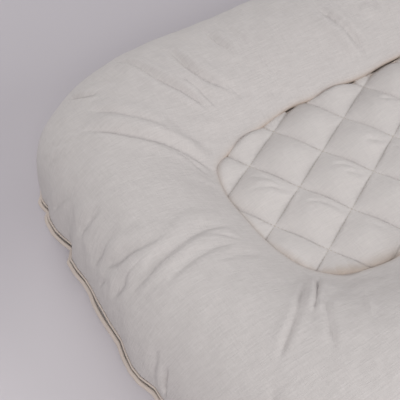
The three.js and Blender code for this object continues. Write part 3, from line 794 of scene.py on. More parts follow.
# Quilted panel: a cotton face, a thin wadding and a backing, stitched through in squares that lie like
# diamonds across the lounger's axis. Between the lines the wadding lifts the face in low pillows. The three
# layers and the bumper cover are sewn together round the opening.
QUILT_PITCH = 0.050
QUILT_ANGLE = math.radians(27)
QUILT_SHIFT = np.array([-0.1746, 0.0124])
LINE_HEIGHT, PUFF_HEIGHT = 0.059, 0.0100
VALLEY_REACH = 0.0010
CROSS_VALLEY_SHARE, LONG_VALLEY_SHARE = 0.26, 0.18
STEPS_PER_SQUARE = 36
PANEL_INSET = BUMPER_WIDTH - 0.0050
OPENING_STEPS = 1600
FACE_THICKNESS = 0.0009
BORDER_FADE, FAR_BORDER_FADE = 0.006, 0.014

opening_ways = even_ways(OPENING_STEPS, PANEL_INSET)
panel_outline = outline(opening_ways, PANEL_INSET)


def quilt_place(across, along):
    """Plan points from places counted in quilting squares."""
    cosine, sine = math.cos(QUILT_ANGLE), math.sin(QUILT_ANGLE)
    across, along = across * QUILT_PITCH, along * QUILT_PITCH
    return np.stack([QUILT_SHIFT[0] + across * cosine - along * sine,
                     QUILT_SHIFT[1] + across * sine + along * cosine], -1)


def inside_opening(points):
    """How far inside the opening's outline each point lies, towards the middle, and below 0 outside."""
    outline_angle = np.arctan2(panel_outline[:, 1], panel_outline[:, 0])
    order = np.argsort(outline_angle)
    radius = np.hypot(panel_outline[:, 0], panel_outline[:, 1])
    angle = np.arctan2(points[..., 1], points[..., 0])
    reach = np.interp(angle, outline_angle[order], radius[order], period=2 * np.pi)
    return reach - np.hypot(points[..., 0], points[..., 1])


squares = math.ceil(LENGTH / 2 / QUILT_PITCH)
counts = np.arange(-squares * STEPS_PER_SQUARE, squares * STEPS_PER_SQUARE + 1)
grid_u, grid_v = np.meshgrid(counts, counts, indexing="ij")
grid_points = quilt_place(grid_u / STEPS_PER_SQUARE, grid_v / STEPS_PER_SQUARE)
inside = inside_opening(grid_points) > 0
whole = inside[:-1, :-1] & inside[1:, :-1] & inside[1:, 1:] & inside[:-1, 1:]
corner_places = [np.argwhere(whole) + corner for corner in ((0, 0), (1, 0), (1, 1), (0, 1))]
used = np.zeros(inside.shape, bool)
for corner in corner_places:
    used[corner[:, 0], corner[:, 1]] = True
numbers = -np.ones(inside.shape, int)
numbers[used] = np.arange(used.sum())
quilt_faces = np.stack([numbers[corner[:, 0], corner[:, 1]] for corner in corner_places], -1)
quilt_places = grid_points[used]
step_u, step_v = grid_u[used], grid_v[used]
on_edge = np.bincount(quilt_faces.ravel(), minlength=len(quilt_places)) < 4
nearest = np.linalg.norm(quilt_places[on_edge][:, None] - panel_outline[None], axis=-1).argmin(1)
quilt_places[on_edge] = panel_outline[nearest]


def pillow(steps, valley_share):
    """The rise of the face across one square: a sharp valley at each line, and a broad middle."""
    share = np.mod(steps / STEPS_PER_SQUARE, 1.0)
    from_line = np.minimum(share, 1 - share) * QUILT_PITCH
    return valley_share * (1 - np.exp(-from_line / VALLEY_REACH)) + (1 - valley_share) * np.sin(np.pi * share)


# The panel sags a little at the far border, so that it gapes there below the cover's roll. Places on the
# border are ways round the ring.
FAR_BORDER, FAR_FADE = (1.2, 3.5), 0.4
SAG, SAG_REACH = 0.0028, 0.010
SAG_WAYS = [(1.40, 1.62), (1.66, 1.88), (1.97, 2.10)]
SAG_FADE = 0.05
RIM_STEP = 16
rim_distance = inside_opening(quilt_places)
rim_points = panel_outline[None, ::RIM_STEP]
rim_way = opening_ways[np.linalg.norm(quilt_places[:, None] - rim_points, axis=-1).argmin(1) * RIM_STEP]
border_fade = mixed(BORDER_FADE, FAR_BORDER_FADE, window(rim_way, *FAR_BORDER, FAR_FADE))
border_share = np.clip(rim_distance / border_fade, 0, 1)
puff = pillow(step_u, CROSS_VALLEY_SHARE) * pillow(step_v, LONG_VALLEY_SHARE)
puff *= np.sqrt(1 - (1 - border_share) ** 2)
gape = sum(window(rim_way, start, end, SAG_FADE) for start, end in SAG_WAYS)
sag = SAG * gape * (1 - ease(rim_distance / SAG_REACH))
face_points = np.column_stack([quilt_places, LINE_HEIGHT + PUFF_HEIGHT * puff - sag])

# Small wrinkles that the photograph shows near the crossings: pixels, depth and width in millimetres, side.
SEEN_WRINKLES = [
    ([(246, 192), (258, 187), (272, 186), (288, 186), (303, 190)], 2.6, 2.1, -0.5),
    ([(240, 178), (252, 173), (268, 176), (284, 184)], 1.4, 2.3, -0.5),
    ([(300, 203), (312, 199), (324, 200), (338, 204), (355, 211)], 2.5, 2.1, -0.5),
    ([(306, 192), (318, 193), (332, 198), (346, 206)], 1.5, 2.1, -0.5),
    ([(338, 175), (350, 171), (363, 170), (378, 174)], 2.4, 2.1, -0.5),
    ([(328, 167), (340, 162), (352, 163), (362, 168)], 1.5, 2.3, -0.5),
    ([(358, 143), (370, 138), (383, 137), (397, 140)], 2.6, 2.1, -0.5),
    ([(378, 99), (388, 96), (400, 95)], 2.1, 2.1, -0.5),
    ([(384, 145), (392, 142), (402, 143)], 1.5, 2.1, -0.5),
    ([(360, 219), (372, 222), (386, 226)], 0.9, 2.3, -0.5),
]
WRINKLE_HEIGHT = LINE_HEIGHT + 0.8 * PUFF_HEIGHT
WRINKLE_FADES = (0.45, 0.12)
upright = np.tile([0.0, 0.0, 1.0], (len(face_points), 1))
for pixels, depth, width, ridge in SEEN_WRINKLES:
    path = smooth_path([on_height(p, WRINKLE_HEIGHT) for p in pixels])
    press_fold(face_points, upright, path, depth * MILLIMETRE, width * MILLIMETRE, ridge, *WRINKLE_FADES)

# Out of view they start just beside seeded crossings. Places and lengths are counted in quilting squares.
HIDDEN_WRINKLES = 70
MOST_ACROSS, MOST_ALONG = 8, 5
BESIDE_CROSSING = 0.06
START_RANGE, END_RANGE, LEAN_RANGE, LEAN_SHARE = (-0.1, 0.1), (0.35, 0.8), (0.1, 0.5), 0.5
BOW = 0.12
WRINKLE_DEPTHS, WRINKLE_WIDTH, WRINKLE_RIDGE = (0.0004, 0.0010), 0.0018, 0.8
HIDDEN_FADES = (0.3, 0.3)
LEAST_INSIDE = 0.01
for number in range(HIDDEN_WRINKLES):
    across = chance.integers(-MOST_ACROSS, MOST_ACROSS + 1)
    along = chance.integers(-MOST_ALONG, MOST_ALONG + 1) + BESIDE_CROSSING
    start = quilt_place(across + chance.uniform(*START_RANGE), along)
    lean = chance.uniform(*LEAN_RANGE)
    end = quilt_place(across + chance.uniform(*END_RANGE), along + lean * LEAN_SHARE)
    middle = (start + end) / 2 + (end - start)[::-1] * [-BOW, BOW]
    path = [(*spot, WRINKLE_HEIGHT) for spot in (start, middle, end)]
    depth = chance.uniform(*WRINKLE_DEPTHS)
    if inside_opening(middle) > LEAST_INSIDE and not in_view(path):
        path = smooth_path(path)
        press_fold(face_points, upright, path, depth, WRINKLE_WIDTH, WRINKLE_RIDGE, *HIDDEN_FADES)

# Close to the border less light comes back from between roll and panel, so painted shade tints the cloth
# warmer.
SHADE_REACH, NEAR_SHADE_REACH = 0.0090, 0.0270
NEAR_BORDER, NEAR_FADE = (3.1, 5.6), 0.5
DEEPEST_BORDER, DEEPEST_FADES = (3.3, 5.6), (0.4, 0.5)
LEAST_SHADE = 0.5
shade_reach = mixed(SHADE_REACH, NEAR_SHADE_REACH, window(rim_way, *DEEPEST_BORDER, *DEEPEST_FADES))
most_shade = mixed(LEAST_SHADE, 1, np.maximum(gape, window(rim_way, *NEAR_BORDER, NEAR_FADE)))
border_shade = (1 - ease(rim_distance / shade_reach)) * most_shade
quilt = mesh_object("quilted_face", face_points, quilt_faces, quilt_places, border_shade)
thickened(quilt, FACE_THICKNESS)
# The last colour is painted shade, which tints the face near its border.
quilt_cloth = cloth_material(
    "quilt_cotton", srgb(202, 197, 196), srgb(214, 209, 207), thread_pitch=0.0008, slub_strength=0.5,
    painted_shade_colour=srgb(226, 215, 204))
finish_piece(quilt, quilt_cloth, "quilt_face")


# Wadding and backing of the panel: a thin sheet of bonded polyester fibre, and a plain cloth under it. They
# are stitched to the face along the quilting lines, and follow its sag.
def layer_between(name, top, bottom, material, node):
    """A closed layer of the panel between two heights at each of the face's points."""
    count = len(quilt_places)
    edges = np.concatenate([quilt_faces[:, [k, (k + 1) % 4]] for k in range(4)])
    keys = np.sort(edges, axis=1)
    _, first, uses = np.unique(keys[:, 0] * count + keys[:, 1], return_index=True, return_counts=True)
    rim = edges[first[uses == 1]]
    walls = np.stack([rim[:, 1], rim[:, 0], rim[:, 0] + count, rim[:, 1] + count], -1)
    points = np.concatenate([np.column_stack([quilt_places, top]), np.column_stack([quilt_places, bottom])])
    faces = np.concatenate([quilt_faces, quilt_faces[:, ::-1] + count, walls])
    piece = mesh_object(name, points, faces, np.concatenate([quilt_places, quilt_places]))
    finish_piece(piece, material, node)


def grained_material(name, first, second, grain, bump=None, **inputs):
    """A material in two close tones of a fine grain, on the piece's own coordinates."""
    material, tree = new_material(name)
    place = add_node(tree, "ShaderNodeTexCoord").outputs["Object"]
    noise = add_node(tree, "ShaderNodeTexNoise", Vector=place, **grain).outputs[0]
    if bump is not None:
        inputs["Normal"] = raised_by(tree, noise, bump)
    shade(tree, Base_Color=two_tone(tree, noise, first, second), **inputs)
    return material


FIBRE_GRAIN = {"Scale": 900.0, "Detail": 6.0, "Roughness": 0.8, "Distortion": 2.0}
fibre = grained_material(
    "fibre", srgb(214, 213, 210), srgb(240, 239, 236), FIBRE_GRAIN, bump=0.0008, Roughness=1.0,
    Specular_IOR_Level=0.1)
lining_cloth = cloth_material(
    "lining_cotton", srgb(228, 226, 222), srgb(236, 234, 230), thread_pitch=0.0006, slub_strength=0.15)
LAYER_GAP = 0.0003
WADDING_UNDER, LEAST_WADDING = 0.0573, 0.0002
BACKING_TOP, BACKING_UNDER, BACKING_SAG_SHARE = 0.0568, 0.0561, 0.7
under_face = face_points[:, 2] - FACE_THICKNESS - LAYER_GAP
wadding_under = WADDING_UNDER - sag
layer_between("quilt_wadding_sheet", np.maximum(under_face, wadding_under + LEAST_WADDING), wadding_under,
              fibre, "quilt_wadding")
backing_sag = sag * BACKING_SAG_SHARE
layer_between("quilt_backing_cloth", BACKING_TOP - backing_sag, BACKING_UNDER - backing_sag, lining_cloth,
              "quilt_backing")


# Seam binding: the raw edges of bumper cover and panel, bound with one folded strip of cotton. It hangs below
# the seam, a little wavy.
def swept(name, ring_ways, insets, heights, closed=True, joined=True):
    """A piece swept round the lounger from a section: insets and heights, for each ring or for all."""
    points = ring_points(ring_ways, insets, heights)
    rings, rows = points.shape[:2]
    section = np.stack([np.broadcast_to(values, (rings, rows)) for values in (insets, heights)], -1)
    along, across = lengths_along(points[:, 0])[:, None], lengths_along(section, axis=1)
    places = np.stack(np.broadcast_arrays(along, across), -1)
    faces = ring_faces(rings, rows, closed, joined)
    return mesh_object(name, points.reshape(-1, 3), faces, places.reshape(-1, 2))


OVAL_SIDES = 12
GROOVE_SPREAD = 0.3


def oval(centre_inset, centre_height, half_width, half_height, sides=OVAL_SIDES, groove=0.0, groove_turn=0.0):
    """A rolled section round a centre: insets and heights. A groove runs along it, turned from the inside."""
    turn = np.linspace(0, 2 * np.pi, sides, endpoint=False)[None]
    apart = np.angle(np.exp(1j * (turn - groove_turn)))
    size = 1 - groove * np.exp(-(apart / GROOVE_SPREAD) ** 2)
    centre_inset, centre_height = np.reshape(centre_inset, (-1, 1)), np.reshape(centre_height, (-1, 1))
    return centre_inset + half_width * size * np.cos(turn), centre_height - half_height * size * np.sin(turn)


BINDING_RINGS = 500
BINDING_HALF, BINDING_DEPTH = 0.0008, 0.007
BINDING_INSET, BINDING_TOP = BUMPER_WIDTH - 0.0010, 0.0595
BINDING_WAVES = [(0.0004, 40, 0), (0.0003, 91, 1)]
BINDING_SWAY = 0.4
lip_cloth = cloth_material(
    "lip_cotton", srgb(199, 187, 179), srgb(212, 200, 191), thread_pitch=0.0006, slub_strength=0.3)
binding_ways = even_ways(BINDING_RINGS, BUMPER_WIDTH)
binding_wave = waves(binding_ways, BINDING_WAVES)
binding = swept("seam_binding", binding_ways, *oval(
    BINDING_INSET + binding_wave * BINDING_SWAY, BINDING_TOP + binding_wave - BINDING_DEPTH / 2,
    BINDING_HALF, BINDING_DEPTH / 2))
finish_piece(binding, lip_cloth, "panel_seam_binding")


# Quilting stitches: a twisted cotton thread, a little glossier than the cloth. They run along each quilting
# line, in the valley between the pillows.
def make_row_tree():
    """Puts equal small pieces along a line of points, each lying along it."""
    tree = bpy.data.node_groups.new("row_of_pieces", "GeometryNodeTree")
    for label, kind in (("Line", "NodeSocketGeometry"), ("Spacing", "NodeSocketFloat"),
                        ("Single piece", "NodeSocketObject"), ("Finish", "NodeSocketMaterial")):
        tree.interface.new_socket(label, in_out="INPUT", socket_type=kind)
    tree.interface.new_socket("Row", in_out="OUTPUT", socket_type="NodeSocketGeometry")
    given, out = tree.nodes.new("NodeGroupInput"), tree.nodes.new("NodeGroupOutput")
    line = add_node(tree, "GeometryNodeMeshToCurve", Mesh=given.outputs["Line"])
    spaced = add_node(tree, "GeometryNodeResampleCurve", mode="LENGTH", Curve=line.outputs[0],
                      Length=given.outputs["Spacing"])
    single = add_node(tree, "GeometryNodeObjectInfo", Object=given.outputs["Single piece"])
    tangent = tree.nodes.new("GeometryNodeInputTangent")
    aligned = add_node(tree, "FunctionNodeAlignRotationToVector", axis="X", Vector=tangent.outputs[0])
    placed = add_node(tree, "GeometryNodeInstanceOnPoints", Points=spaced.outputs[0],
                      Instance=single.outputs["Geometry"], Rotation=aligned.outputs[0])
    real = add_node(tree, "GeometryNodeRealizeInstances", Geometry=placed.outputs[0])
    finished = add_node(tree, "GeometryNodeSetMaterial", Geometry=real.outputs[0],
                        Material=given.outputs["Finish"])
    feed(tree, out.inputs[0], finished.outputs[0])
    return tree


row_tree = make_row_tree()


def row_of(name, lines, spacing, single, material):
    """A row of copies of a single piece along each line of points."""
    edges, first = [], 0
    for line in lines:
        edges += [(first + k, first + k + 1) for k in range(len(line) - 1)]
        first += len(line)
    mesh = bpy.data.meshes.new(name)
    mesh.from_pydata(np.concatenate(lines).tolist(), edges, [])
    row = in_scene(name, mesh)
    modifier = row.modifiers.new("row", "NODES")
    modifier.node_group = row_tree
    sockets = {s.name: s.identifier for s in row_tree.interface.items_tree if s.in_out == "INPUT"}
    modifier[sockets["Spacing"]] = spacing
    modifier[sockets["Single piece"]] = single
    modifier[sockets["Finish"]] = material
    return baked(row)


END_THINNING = 0.55
LEAST_SIDE = 0.1


def tube_along(name, path, radius, sides):
    """A short tube with closed ends round a path, thinner at both ends."""
    path = np.asarray(path, float)
    tangent = np.gradient(path, axis=0)
    tangent /= np.linalg.norm(tangent, axis=1, keepdims=True)
    side = np.cross(tangent, [1.0, 0.0, 0.01])
    side[np.linalg.norm(side, axis=1) < LEAST_SIDE] = [0.0, 1.0, 0.0]
    side /= np.linalg.norm(side, axis=1, keepdims=True)
    other = np.cross(tangent, side)
    turn = np.linspace(0, 2 * np.pi, sides, endpoint=False)[None, :, None]
    size = np.full(len(path), radius)
    size[[0, -1]] *= END_THINNING
    spoke = np.cos(turn) * side[:, None] + np.sin(turn) * other[:, None]
    points = path[:, None] + size[:, None, None] * spoke
    faces = ring_faces(len(path), sides, closed=True, joined=False)[:, ::-1].tolist()
    faces += [list(range(sides)), [(len(path) - 1) * sides + j for j in range(sides)][::-1]]
    piece = mesh_object(name, points.reshape(-1, 3), faces)
    work = bmesh.new()
    work.from_mesh(piece.data)
    bmesh.ops.recalc_face_normals(work, faces=work.faces)
    work.to_mesh(piece.data)
    work.free()
    return piece


STITCH_SPACING, STITCH_LENGTH, STITCH_ARCH = 0.0034, 0.0027, 0.0004
STITCH_LIFT = 0.0002
THREAD_RADIUS, THREAD_SIDES = 0.00022, 6
thread = grained_material(
    "quilting_thread", srgb(174, 163, 150), srgb(194, 184, 172), {"Scale": 2400.0, "Detail": 2.0},
    Roughness=0.6, Sheen_Weight=0.2)
stitch_steps = np.array([-1, -0.55, 0, 0.55, 1])
stitch_path = np.column_stack(
    [stitch_steps * STITCH_LENGTH / 2, 0 * stitch_steps, -STITCH_ARCH * stitch_steps ** 2])
stitch = tube_along("stitch", stitch_path, THREAD_RADIUS, THREAD_SIDES)
stitch_lines = []
for own, other in ((step_u, step_v), (step_v, step_u)):
    for count in np.unique(own[own % STEPS_PER_SQUARE == 0]):
        on_line = np.flatnonzero((own == count) & ~on_edge)
        on_line = on_line[np.argsort(other[on_line])]
        runs = np.split(on_line, np.flatnonzero(np.diff(other[on_line]) > 1) + 1)
        stitch_lines += [face_points[run] + [0, 0, STITCH_LIFT] for run in runs if len(run) > 2]
quilt_stitches = row_of("quilt_stitches", stitch_lines, STITCH_SPACING, stitch, thread)
bpy.data.objects.remove(stitch)
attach(quilt_stitches, "lounger")


# Zip lips: the folded edges of both covers, in a paler facing. The upper one peeps out as a thin line under
# the bumper's hem. The lower one is a fuller roll with a sewn groove, and hides the zip from above.
UPPER_LIP_RADIUS, UPPER_LIP_TALLER = 0.0009, 1.2
LOWER_LIP_RADIUS, LOWER_LIP_TALLER = 0.0019, 1.15
UPPER_LIP_OUT = 0.0002
UPPER_LIP_HIDDEN, LOWER_LIP_HIDDEN = 0.0009, 0.0040
LOWER_LIP_SIDES = 18
LIP_GROOVE, LIP_GROOVE_TURN = 0.16, math.radians(232)
LIP_SHOWS_FROM, LIP_FADE = 2.62, 0.04
ROLL_WAVES = [(0.0002, 61, 0), (0.0002, 37, 2)]
zip_line = zip_inset(ways)
half_slit = slit_half(ways)
edge_step = EDGE_SHARE * slit_open(ways)
hidden = 1 - ease((ways - LIP_SHOWS_FROM) / LIP_FADE) * in_seen_part(ways)
roll_wave = waves(ways, ROLL_WAVES)
upper_inset = zip_line + edge_step - UPPER_LIP_OUT + UPPER_LIP_HIDDEN * hidden
upper_lip = swept("upper_lip", ways, *oval(
    upper_inset, ZIP_HEIGHT + half_slit + UPPER_LIP_RADIUS, UPPER_LIP_RADIUS,
    UPPER_LIP_RADIUS * UPPER_LIP_TALLER))
lip_inset = zip_line - edge_step - LOWER_LIP_RADIUS + roll_wave + LOWER_LIP_HIDDEN * hidden
lip_height = ZIP_HEIGHT - half_slit - LOWER_LIP_RADIUS + roll_wave
lower_lip = swept("lower_lip", ways, *oval(
    lip_inset, lip_height, LOWER_LIP_RADIUS, LOWER_LIP_RADIUS * LOWER_LIP_TALLER, LOWER_LIP_SIDES, LIP_GROOVE,
    LIP_GROOVE_TURN))
finish_piece(upper_lip, lip_cloth, "zip_lip_upper")
finish_piece(lower_lip, lip_cloth, "zip_lip_lower")

# Zip tapes: two herringbone polyester tapes, sewn behind both hems. Each steps back behind the coils, to
# leave room for the slider. A section gives insets, and heights from the zip's middle.
TAPE_SECTION = [(0.0081, 0.0007), (0.0081, 0.0030), (0.0079, 0.0038), (0.0066, 0.0050), (0.0060, 0.0058),
                (0.0060, 0.0079)]
TAPE_THICKNESS = 0.0005
TAPE_REACH = 0.155
RIB_TURN, RIB_PITCH, RIB_DEPTH = 0.0014, 0.0009, 0.0002
zip_ways = ways[plan(ways, ZIP_INSET)[:, 0] < TAPE_REACH]


def tape_material():
    """Ribs that turn back and forth across the tape, in two close tones."""
    material, tree = new_material("zip_tape")
    place = add_node(tree, "ShaderNodeUVMap", uv_map="cloth").outputs[0]
    split = add_node(tree, "ShaderNodeSeparateXYZ", Vector=place)
    slanted = maths(tree, "ADD", split.outputs[0], maths(tree, "PINGPONG", split.outputs[1], RIB_TURN))
    rib = maths(tree, "SINE", maths(tree, "MULTIPLY", slanted, 2 * math.pi / RIB_PITCH))
    height = maths(tree, "MULTIPLY_ADD", rib, 0.5, 0.5)
    shade(tree, Base_Color=two_tone(tree, height, srgb(206, 192, 172), srgb(222, 209, 190)),
          Normal=raised_by(tree, height, RIB_DEPTH), Roughness=0.75)
    return material


tape_cloth = tape_material()
tape_shift = (zip_inset(zip_ways) - ZIP_INSET)[:, None]
for name, up in (("upper", 1), ("lower", -1)):
    section = np.array(TAPE_SECTION)[::up]
    tape = swept(f"{name}_tape", zip_ways, section[:, 0] + tape_shift, ZIP_HEIGHT + up * section[:, 1],
                 closed=False, joined=False)
    thickened(tape, TAPE_THICKNESS)
    finish_piece(tape, tape_cloth, f"zip_tape_{name}")

# Zip coils: a nylon monofilament wound in flat loops, sewn to the edge of each tape. One loop is drawn and
# repeated. Its path runs along the tape, inwards, and up from the zip's middle.
TOOTH_PATH = [(-0.0005, 0.0006, 0.0024), (-0.0003, 0.0007, 0.0017), (0, 0.0005, 0.0013), (0, 0, 0.0012),
              (0, -0.0005, 0.0013), (0, -0.0007, 0.0017), (0, -0.0006, 0.0024)]
TOOTH_PITCH = 0.0015
FILAMENT_RADIUS, FILAMENT_SIDES = 0.0003, 5
COIL_INSET, COIL_END = 0.0068, 0.1075
nylon = grained_material(
    "zip_coil", srgb(196, 180, 156), srgb(218, 204, 182), {"Scale": 700.0, "Detail": 3.0}, Roughness=0.35)
coil_ways = zip_ways[plan(zip_ways, ZIP_INSET)[:, 0] < COIL_END]
coil_inset = (COIL_INSET + zip_inset(coil_ways) - ZIP_INSET)[:, None]
coil_line = ring_points(coil_ways, coil_inset, ZIP_HEIGHT)[:, 0]
for name, up in (("upper", 1), ("lower", -1)):
    tooth = tube_along(f"{name}_tooth", np.array(TOOTH_PATH) * [1, 1, up], FILAMENT_RADIUS, FILAMENT_SIDES)
    coil = row_of(f"{name}_coil", [coil_line], TOOTH_PITCH, tooth, nylon)
    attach(coil, "lounger")
    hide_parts(f"zip_coil_{name}")
    bpy.data.objects.remove(tooth)


# Zip stops, slider and pull: cast zinc, plated and tumbled, with rounded edges that show a little wear.
# The slider runs along the near side, and the pull turns on its own bar under the slider's crown.
RUBBED_SHARE, LEAST_ROUGHNESS = 0.3, 0.2


def make_handled_metal():
    """Plated metal that handling has dulled. Puts out the colour and the roughness."""
    group, given, out = group_with(
        "handled_metal",
        [("Place", "NodeSocketVector", None), ("Plating", "NodeSocketColor", (0.4, 0.38, 0.35, 1)),
         ("Worn", "NodeSocketColor", (0.3, 0.27, 0.22, 1)), ("Grain", "NodeSocketFloat", 1800.0)],
        [("Color", "NodeSocketColor"), ("Roughness", "NodeSocketFloat")],
    )
    place, plating, worn, grain = given.outputs[:4]
    noise = add_node(group, "ShaderNodeTexNoise", Vector=place, Scale=grain, Detail=5.0, Roughness=0.7)
    rubbed = noise.outputs[0]
    feed(group, out.inputs["Color"], two_tone(group, rubbed, plating, worn))
    feed(group, out.inputs["Roughness"], maths(group, "MULTIPLY_ADD", rubbed, RUBBED_SHARE, LEAST_ROUGHNESS))
    return group


handled_metal = make_handled_metal()


def metal_material(name, plating, worn, grain, metallic):
    """A plating in its own colours, on the piece's own coordinates."""
    material, tree = new_material(name)
    place = add_node(tree, "ShaderNodeTexCoord").outputs["Object"]
    metal = add_node(tree, "ShaderNodeGroup", node_tree=handled_metal, Place=place, Plating=plating,
                     Worn=worn, Grain=grain)
    shade(tree, Base_Color=metal.outputs["Color"], Roughness=metal.outputs["Roughness"], Metallic=metallic)
    return material


SAME_POINT = 1e-6
FLAT_ANGLE, EDGE_ANGLE = math.radians(1), math.radians(30)
ROUNDING_STEPS = 3


def cast_copy(name, node, rounding):
    """A casting with the node's shape and rounded edges."""
    work = bmesh.new()
    work.from_mesh(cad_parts[node].data)
    bmesh.ops.remove_doubles(work, verts=work.verts, dist=SAME_POINT)
    bmesh.ops.dissolve_limit(work, angle_limit=FLAT_ANGLE, verts=work.verts, edges=work.edges)
    bmesh.ops.recalc_face_normals(work, faces=work.faces)
    mesh = bpy.data.meshes.new(name)
    work.to_mesh(mesh)
    work.free()
    mesh.polygons.foreach_set("use_smooth", [True] * len(mesh.polygons))
    piece = in_scene(name, mesh)
    bevel = piece.modifiers.new("rounding", "BEVEL")
    bevel.width = rounding
    bevel.segments = ROUNDING_STEPS
    bevel.limit_method = "ANGLE"
    bevel.angle_limit = EDGE_ANGLE
    bevel.harden_normals = True
    return baked(piece)


plated = metal_material("slider_metal", srgb(190, 186, 178), srgb(160, 152, 138), 1800.0, 1.0)
stop_plating = metal_material("zip_stop", srgb(186, 172, 146), srgb(160, 144, 118), 900.0, 0.6)
for name, node, body, finish, slot, rounding in (
    ("cast_slider", "zip_slider", "slider", plated, "slider_metal", 0.00032),
    ("cast_pull", "zip_pull", "pull", plated, "slider_metal", 0.0004),
    ("top_stop", "zip_top_stop", "lounger", stop_plating, "zip_coil", 0.0003),
    ("bottom_stop", "zip_bottom_stop", "lounger", stop_plating, "zip_coil", 0.0003),
):
    finish_piece(cast_copy(name, node, rounding), finish, node, body)


# Base cover: the plain underside of the cover, drawn up round the insert's rounded foot to the zip, where the
# lower lip closes it. It puckers a little on the way up.
FOOT_INSET = 0.027
FOOT_ROWS = 16
BASE_FLAT_SHARES = np.array([0.06, 0.2, 0.4, 0.6, 0.8, 0.96])
BASE_PUCKER = 0.0007
BASE_WAVES = [(BASE_PUCKER, 47, 0), (BASE_PUCKER, 83, 1), (BASE_PUCKER, 29, 2)]
UNDER_LIP = 0.0003
LIP_SHARE = 0.9
MIDDLE_INSET = WIDTH / 2 - 0.0001
foot_share = np.linspace(0, 1, FOOT_ROWS)
foot_turn = foot_share * np.pi / 2
foot_top_inset = (lip_inset + LOWER_LIP_RADIUS * LIP_SHARE)[:, None]
puckers = waves(ways, BASE_WAVES)[:, None] * np.sin(foot_share * np.pi) ** 2
foot_insets = mixed(FOOT_INSET, foot_top_inset, np.sin(foot_turn)) + puckers
foot_heights = (lip_height - UNDER_LIP)[:, None] * (1 - np.cos(foot_turn))
flat_insets = np.tile(mixed(MIDDLE_INSET, FOOT_INSET, BASE_FLAT_SHARES), (RINGS, 1))


def capped(name, grid, first=False, last=False):
    """A skin from rings of points, whose first or last row meets in the middle."""
    rings, rows = grid.shape[:2]
    points, faces = grid.reshape(-1, 3), ring_faces(rings, rows).tolist()
    for wanted, row, turn in ((first, 0, 1), (last, rows - 1, -1)):
        if wanted:
            rim = [i * rows + row for i in range(rings)]
            faces += [[len(points), *pair[::-turn]] for pair in zip(rim, rim[1:] + rim[:1])]
            points = np.vstack([points, [0, 0, grid[0, row, 2]]])
    return mesh_object(name, points, faces, points[:, :2])


base_grid = ring_points(
    ways, np.hstack([flat_insets, foot_insets]), np.hstack([np.zeros_like(flat_insets), foot_heights]))
base = capped("base_cotton", base_grid, first=True)
thickened(base, COVER_THICKNESS)
finish_piece(base, bumper_cloth, "base_cover")


# Insert: a plain lining filled with fibre, which gives the bumper its shape. Its skin follows the cover from
# inside and steps in behind the zip. A sewn wall keeps the ring's fibre apart from the centre's.
SKIN_GAP, SKIN_PASSES = 0.0046, 12
LINING_THICKNESS = 0.0008
ZIP_ROOM_INSET, ZIP_ROOM_HALF = 0.0112, 0.0046
WALL_THICKNESS = 0.0012
WALL_INSET = BUMPER_WIDTH - 0.0039
INSERT_TOP = 0.0535
BASE_LINING_LOW, BASE_LINING_HIGH = 0.0018, 0.0026
FIBRE_GAP, FIBRE_FLOOR = 0.0006, 0.0004
FOOT_CORNERS = 6
EVERY_ROWS = slice(4, HEM_ROWS + CROWN_ROWS + FALL_ROWS, 3)


def skin_points(depth):
    """The insert's outside at a depth below the cover, from the foot over the crest to the sewn wall."""
    calm = calmed(cover_points, SKIN_PASSES)
    inside_cover = (calm - surface_normals(calm) * (SKIN_GAP + depth))[:, EVERY_ROWS]
    turned = np.cos(np.linspace(0, np.pi / 2, FOOT_CORNERS))
    foot_inset = ZIP_ROOM_INSET + depth + (FOOT_INSET - ZIP_ROOM_INSET) * turned
    foot_low = BASE_LINING_HIGH + FIBRE_FLOOR + depth
    foot_height = foot_low + (ZIP_HEIGHT - ZIP_ROOM_HALF - BASE_LINING_HIGH) * (1 - turned)
    foot_inset = np.append(foot_inset, foot_inset[-1])
    foot_height = np.append(foot_height, ZIP_HEIGHT + ZIP_ROOM_HALF + depth)
    foot = ring_points(ways, foot_inset + (zip_line - ZIP_INSET)[:, None], foot_height)
    return np.hstack([foot, inside_cover, ring_points(ways, WALL_INSET, INSERT_TOP - depth)])


top_lining = capped("insert_lining_top", skin_points(0), last=True)
thickened(top_lining, LINING_THICKNESS)
finish_piece(top_lining, lining_cloth, "insert_top_lining")

SLAB_EDGE, SLAB_ROUNDING = 0.004, 0.3
CROWN_INSET, CROWN_SHARE = 0.03, 0.7


def slab(name, inset, low, high, crown, material, node):
    """A flat layer inside an inset, with a slightly crowned top and rounded edges."""
    edge = min(SLAB_EDGE, (high - low) / 2)
    cut = edge * SLAB_ROUNDING
    insets, heights = np.array([
        (MIDDLE_INSET, low), (inset + edge, low), (inset + cut, low + cut), (inset, low + edge),
        (inset, high - edge), (inset + cut, high - cut), (inset + edge, high),
        (inset + CROWN_INSET, high + crown * CROWN_SHARE), (MIDDLE_INSET, high + crown)]).T
    piece = capped(name, ring_points(ways, insets, heights), first=True, last=True)
    finish_piece(piece, material, node)


FILL_LOW = BASE_LINING_HIGH + FIBRE_FLOOR
FILL_TOP = INSERT_TOP - LINING_THICKNESS - FIBRE_GAP
CENTRE_GAP, CENTRE_LOWER, CENTRE_CROWN = 0.0004, 0.0008, 0.0006
LINING_EDGE = 0.002
WALL_LOWER = 0.001
wall_back = WALL_INSET + WALL_THICKNESS
slab("insert_lining_base", FOOT_INSET + LINING_EDGE, BASE_LINING_LOW, BASE_LINING_HIGH, 0.0, lining_cloth,
     "insert_base_lining")
wall = swept("insert_wall", ways, np.array([wall_back, wall_back, WALL_INSET, WALL_INSET]),
             np.array([FILL_LOW, FILL_TOP, FILL_TOP, FILL_LOW]))
finish_piece(wall, lining_cloth, "insert_baffle")
slab("centre_fibre", wall_back + CENTRE_GAP, FILL_LOW, FILL_TOP - CENTRE_LOWER, CENTRE_CROWN, fibre,
     "centre_fill")

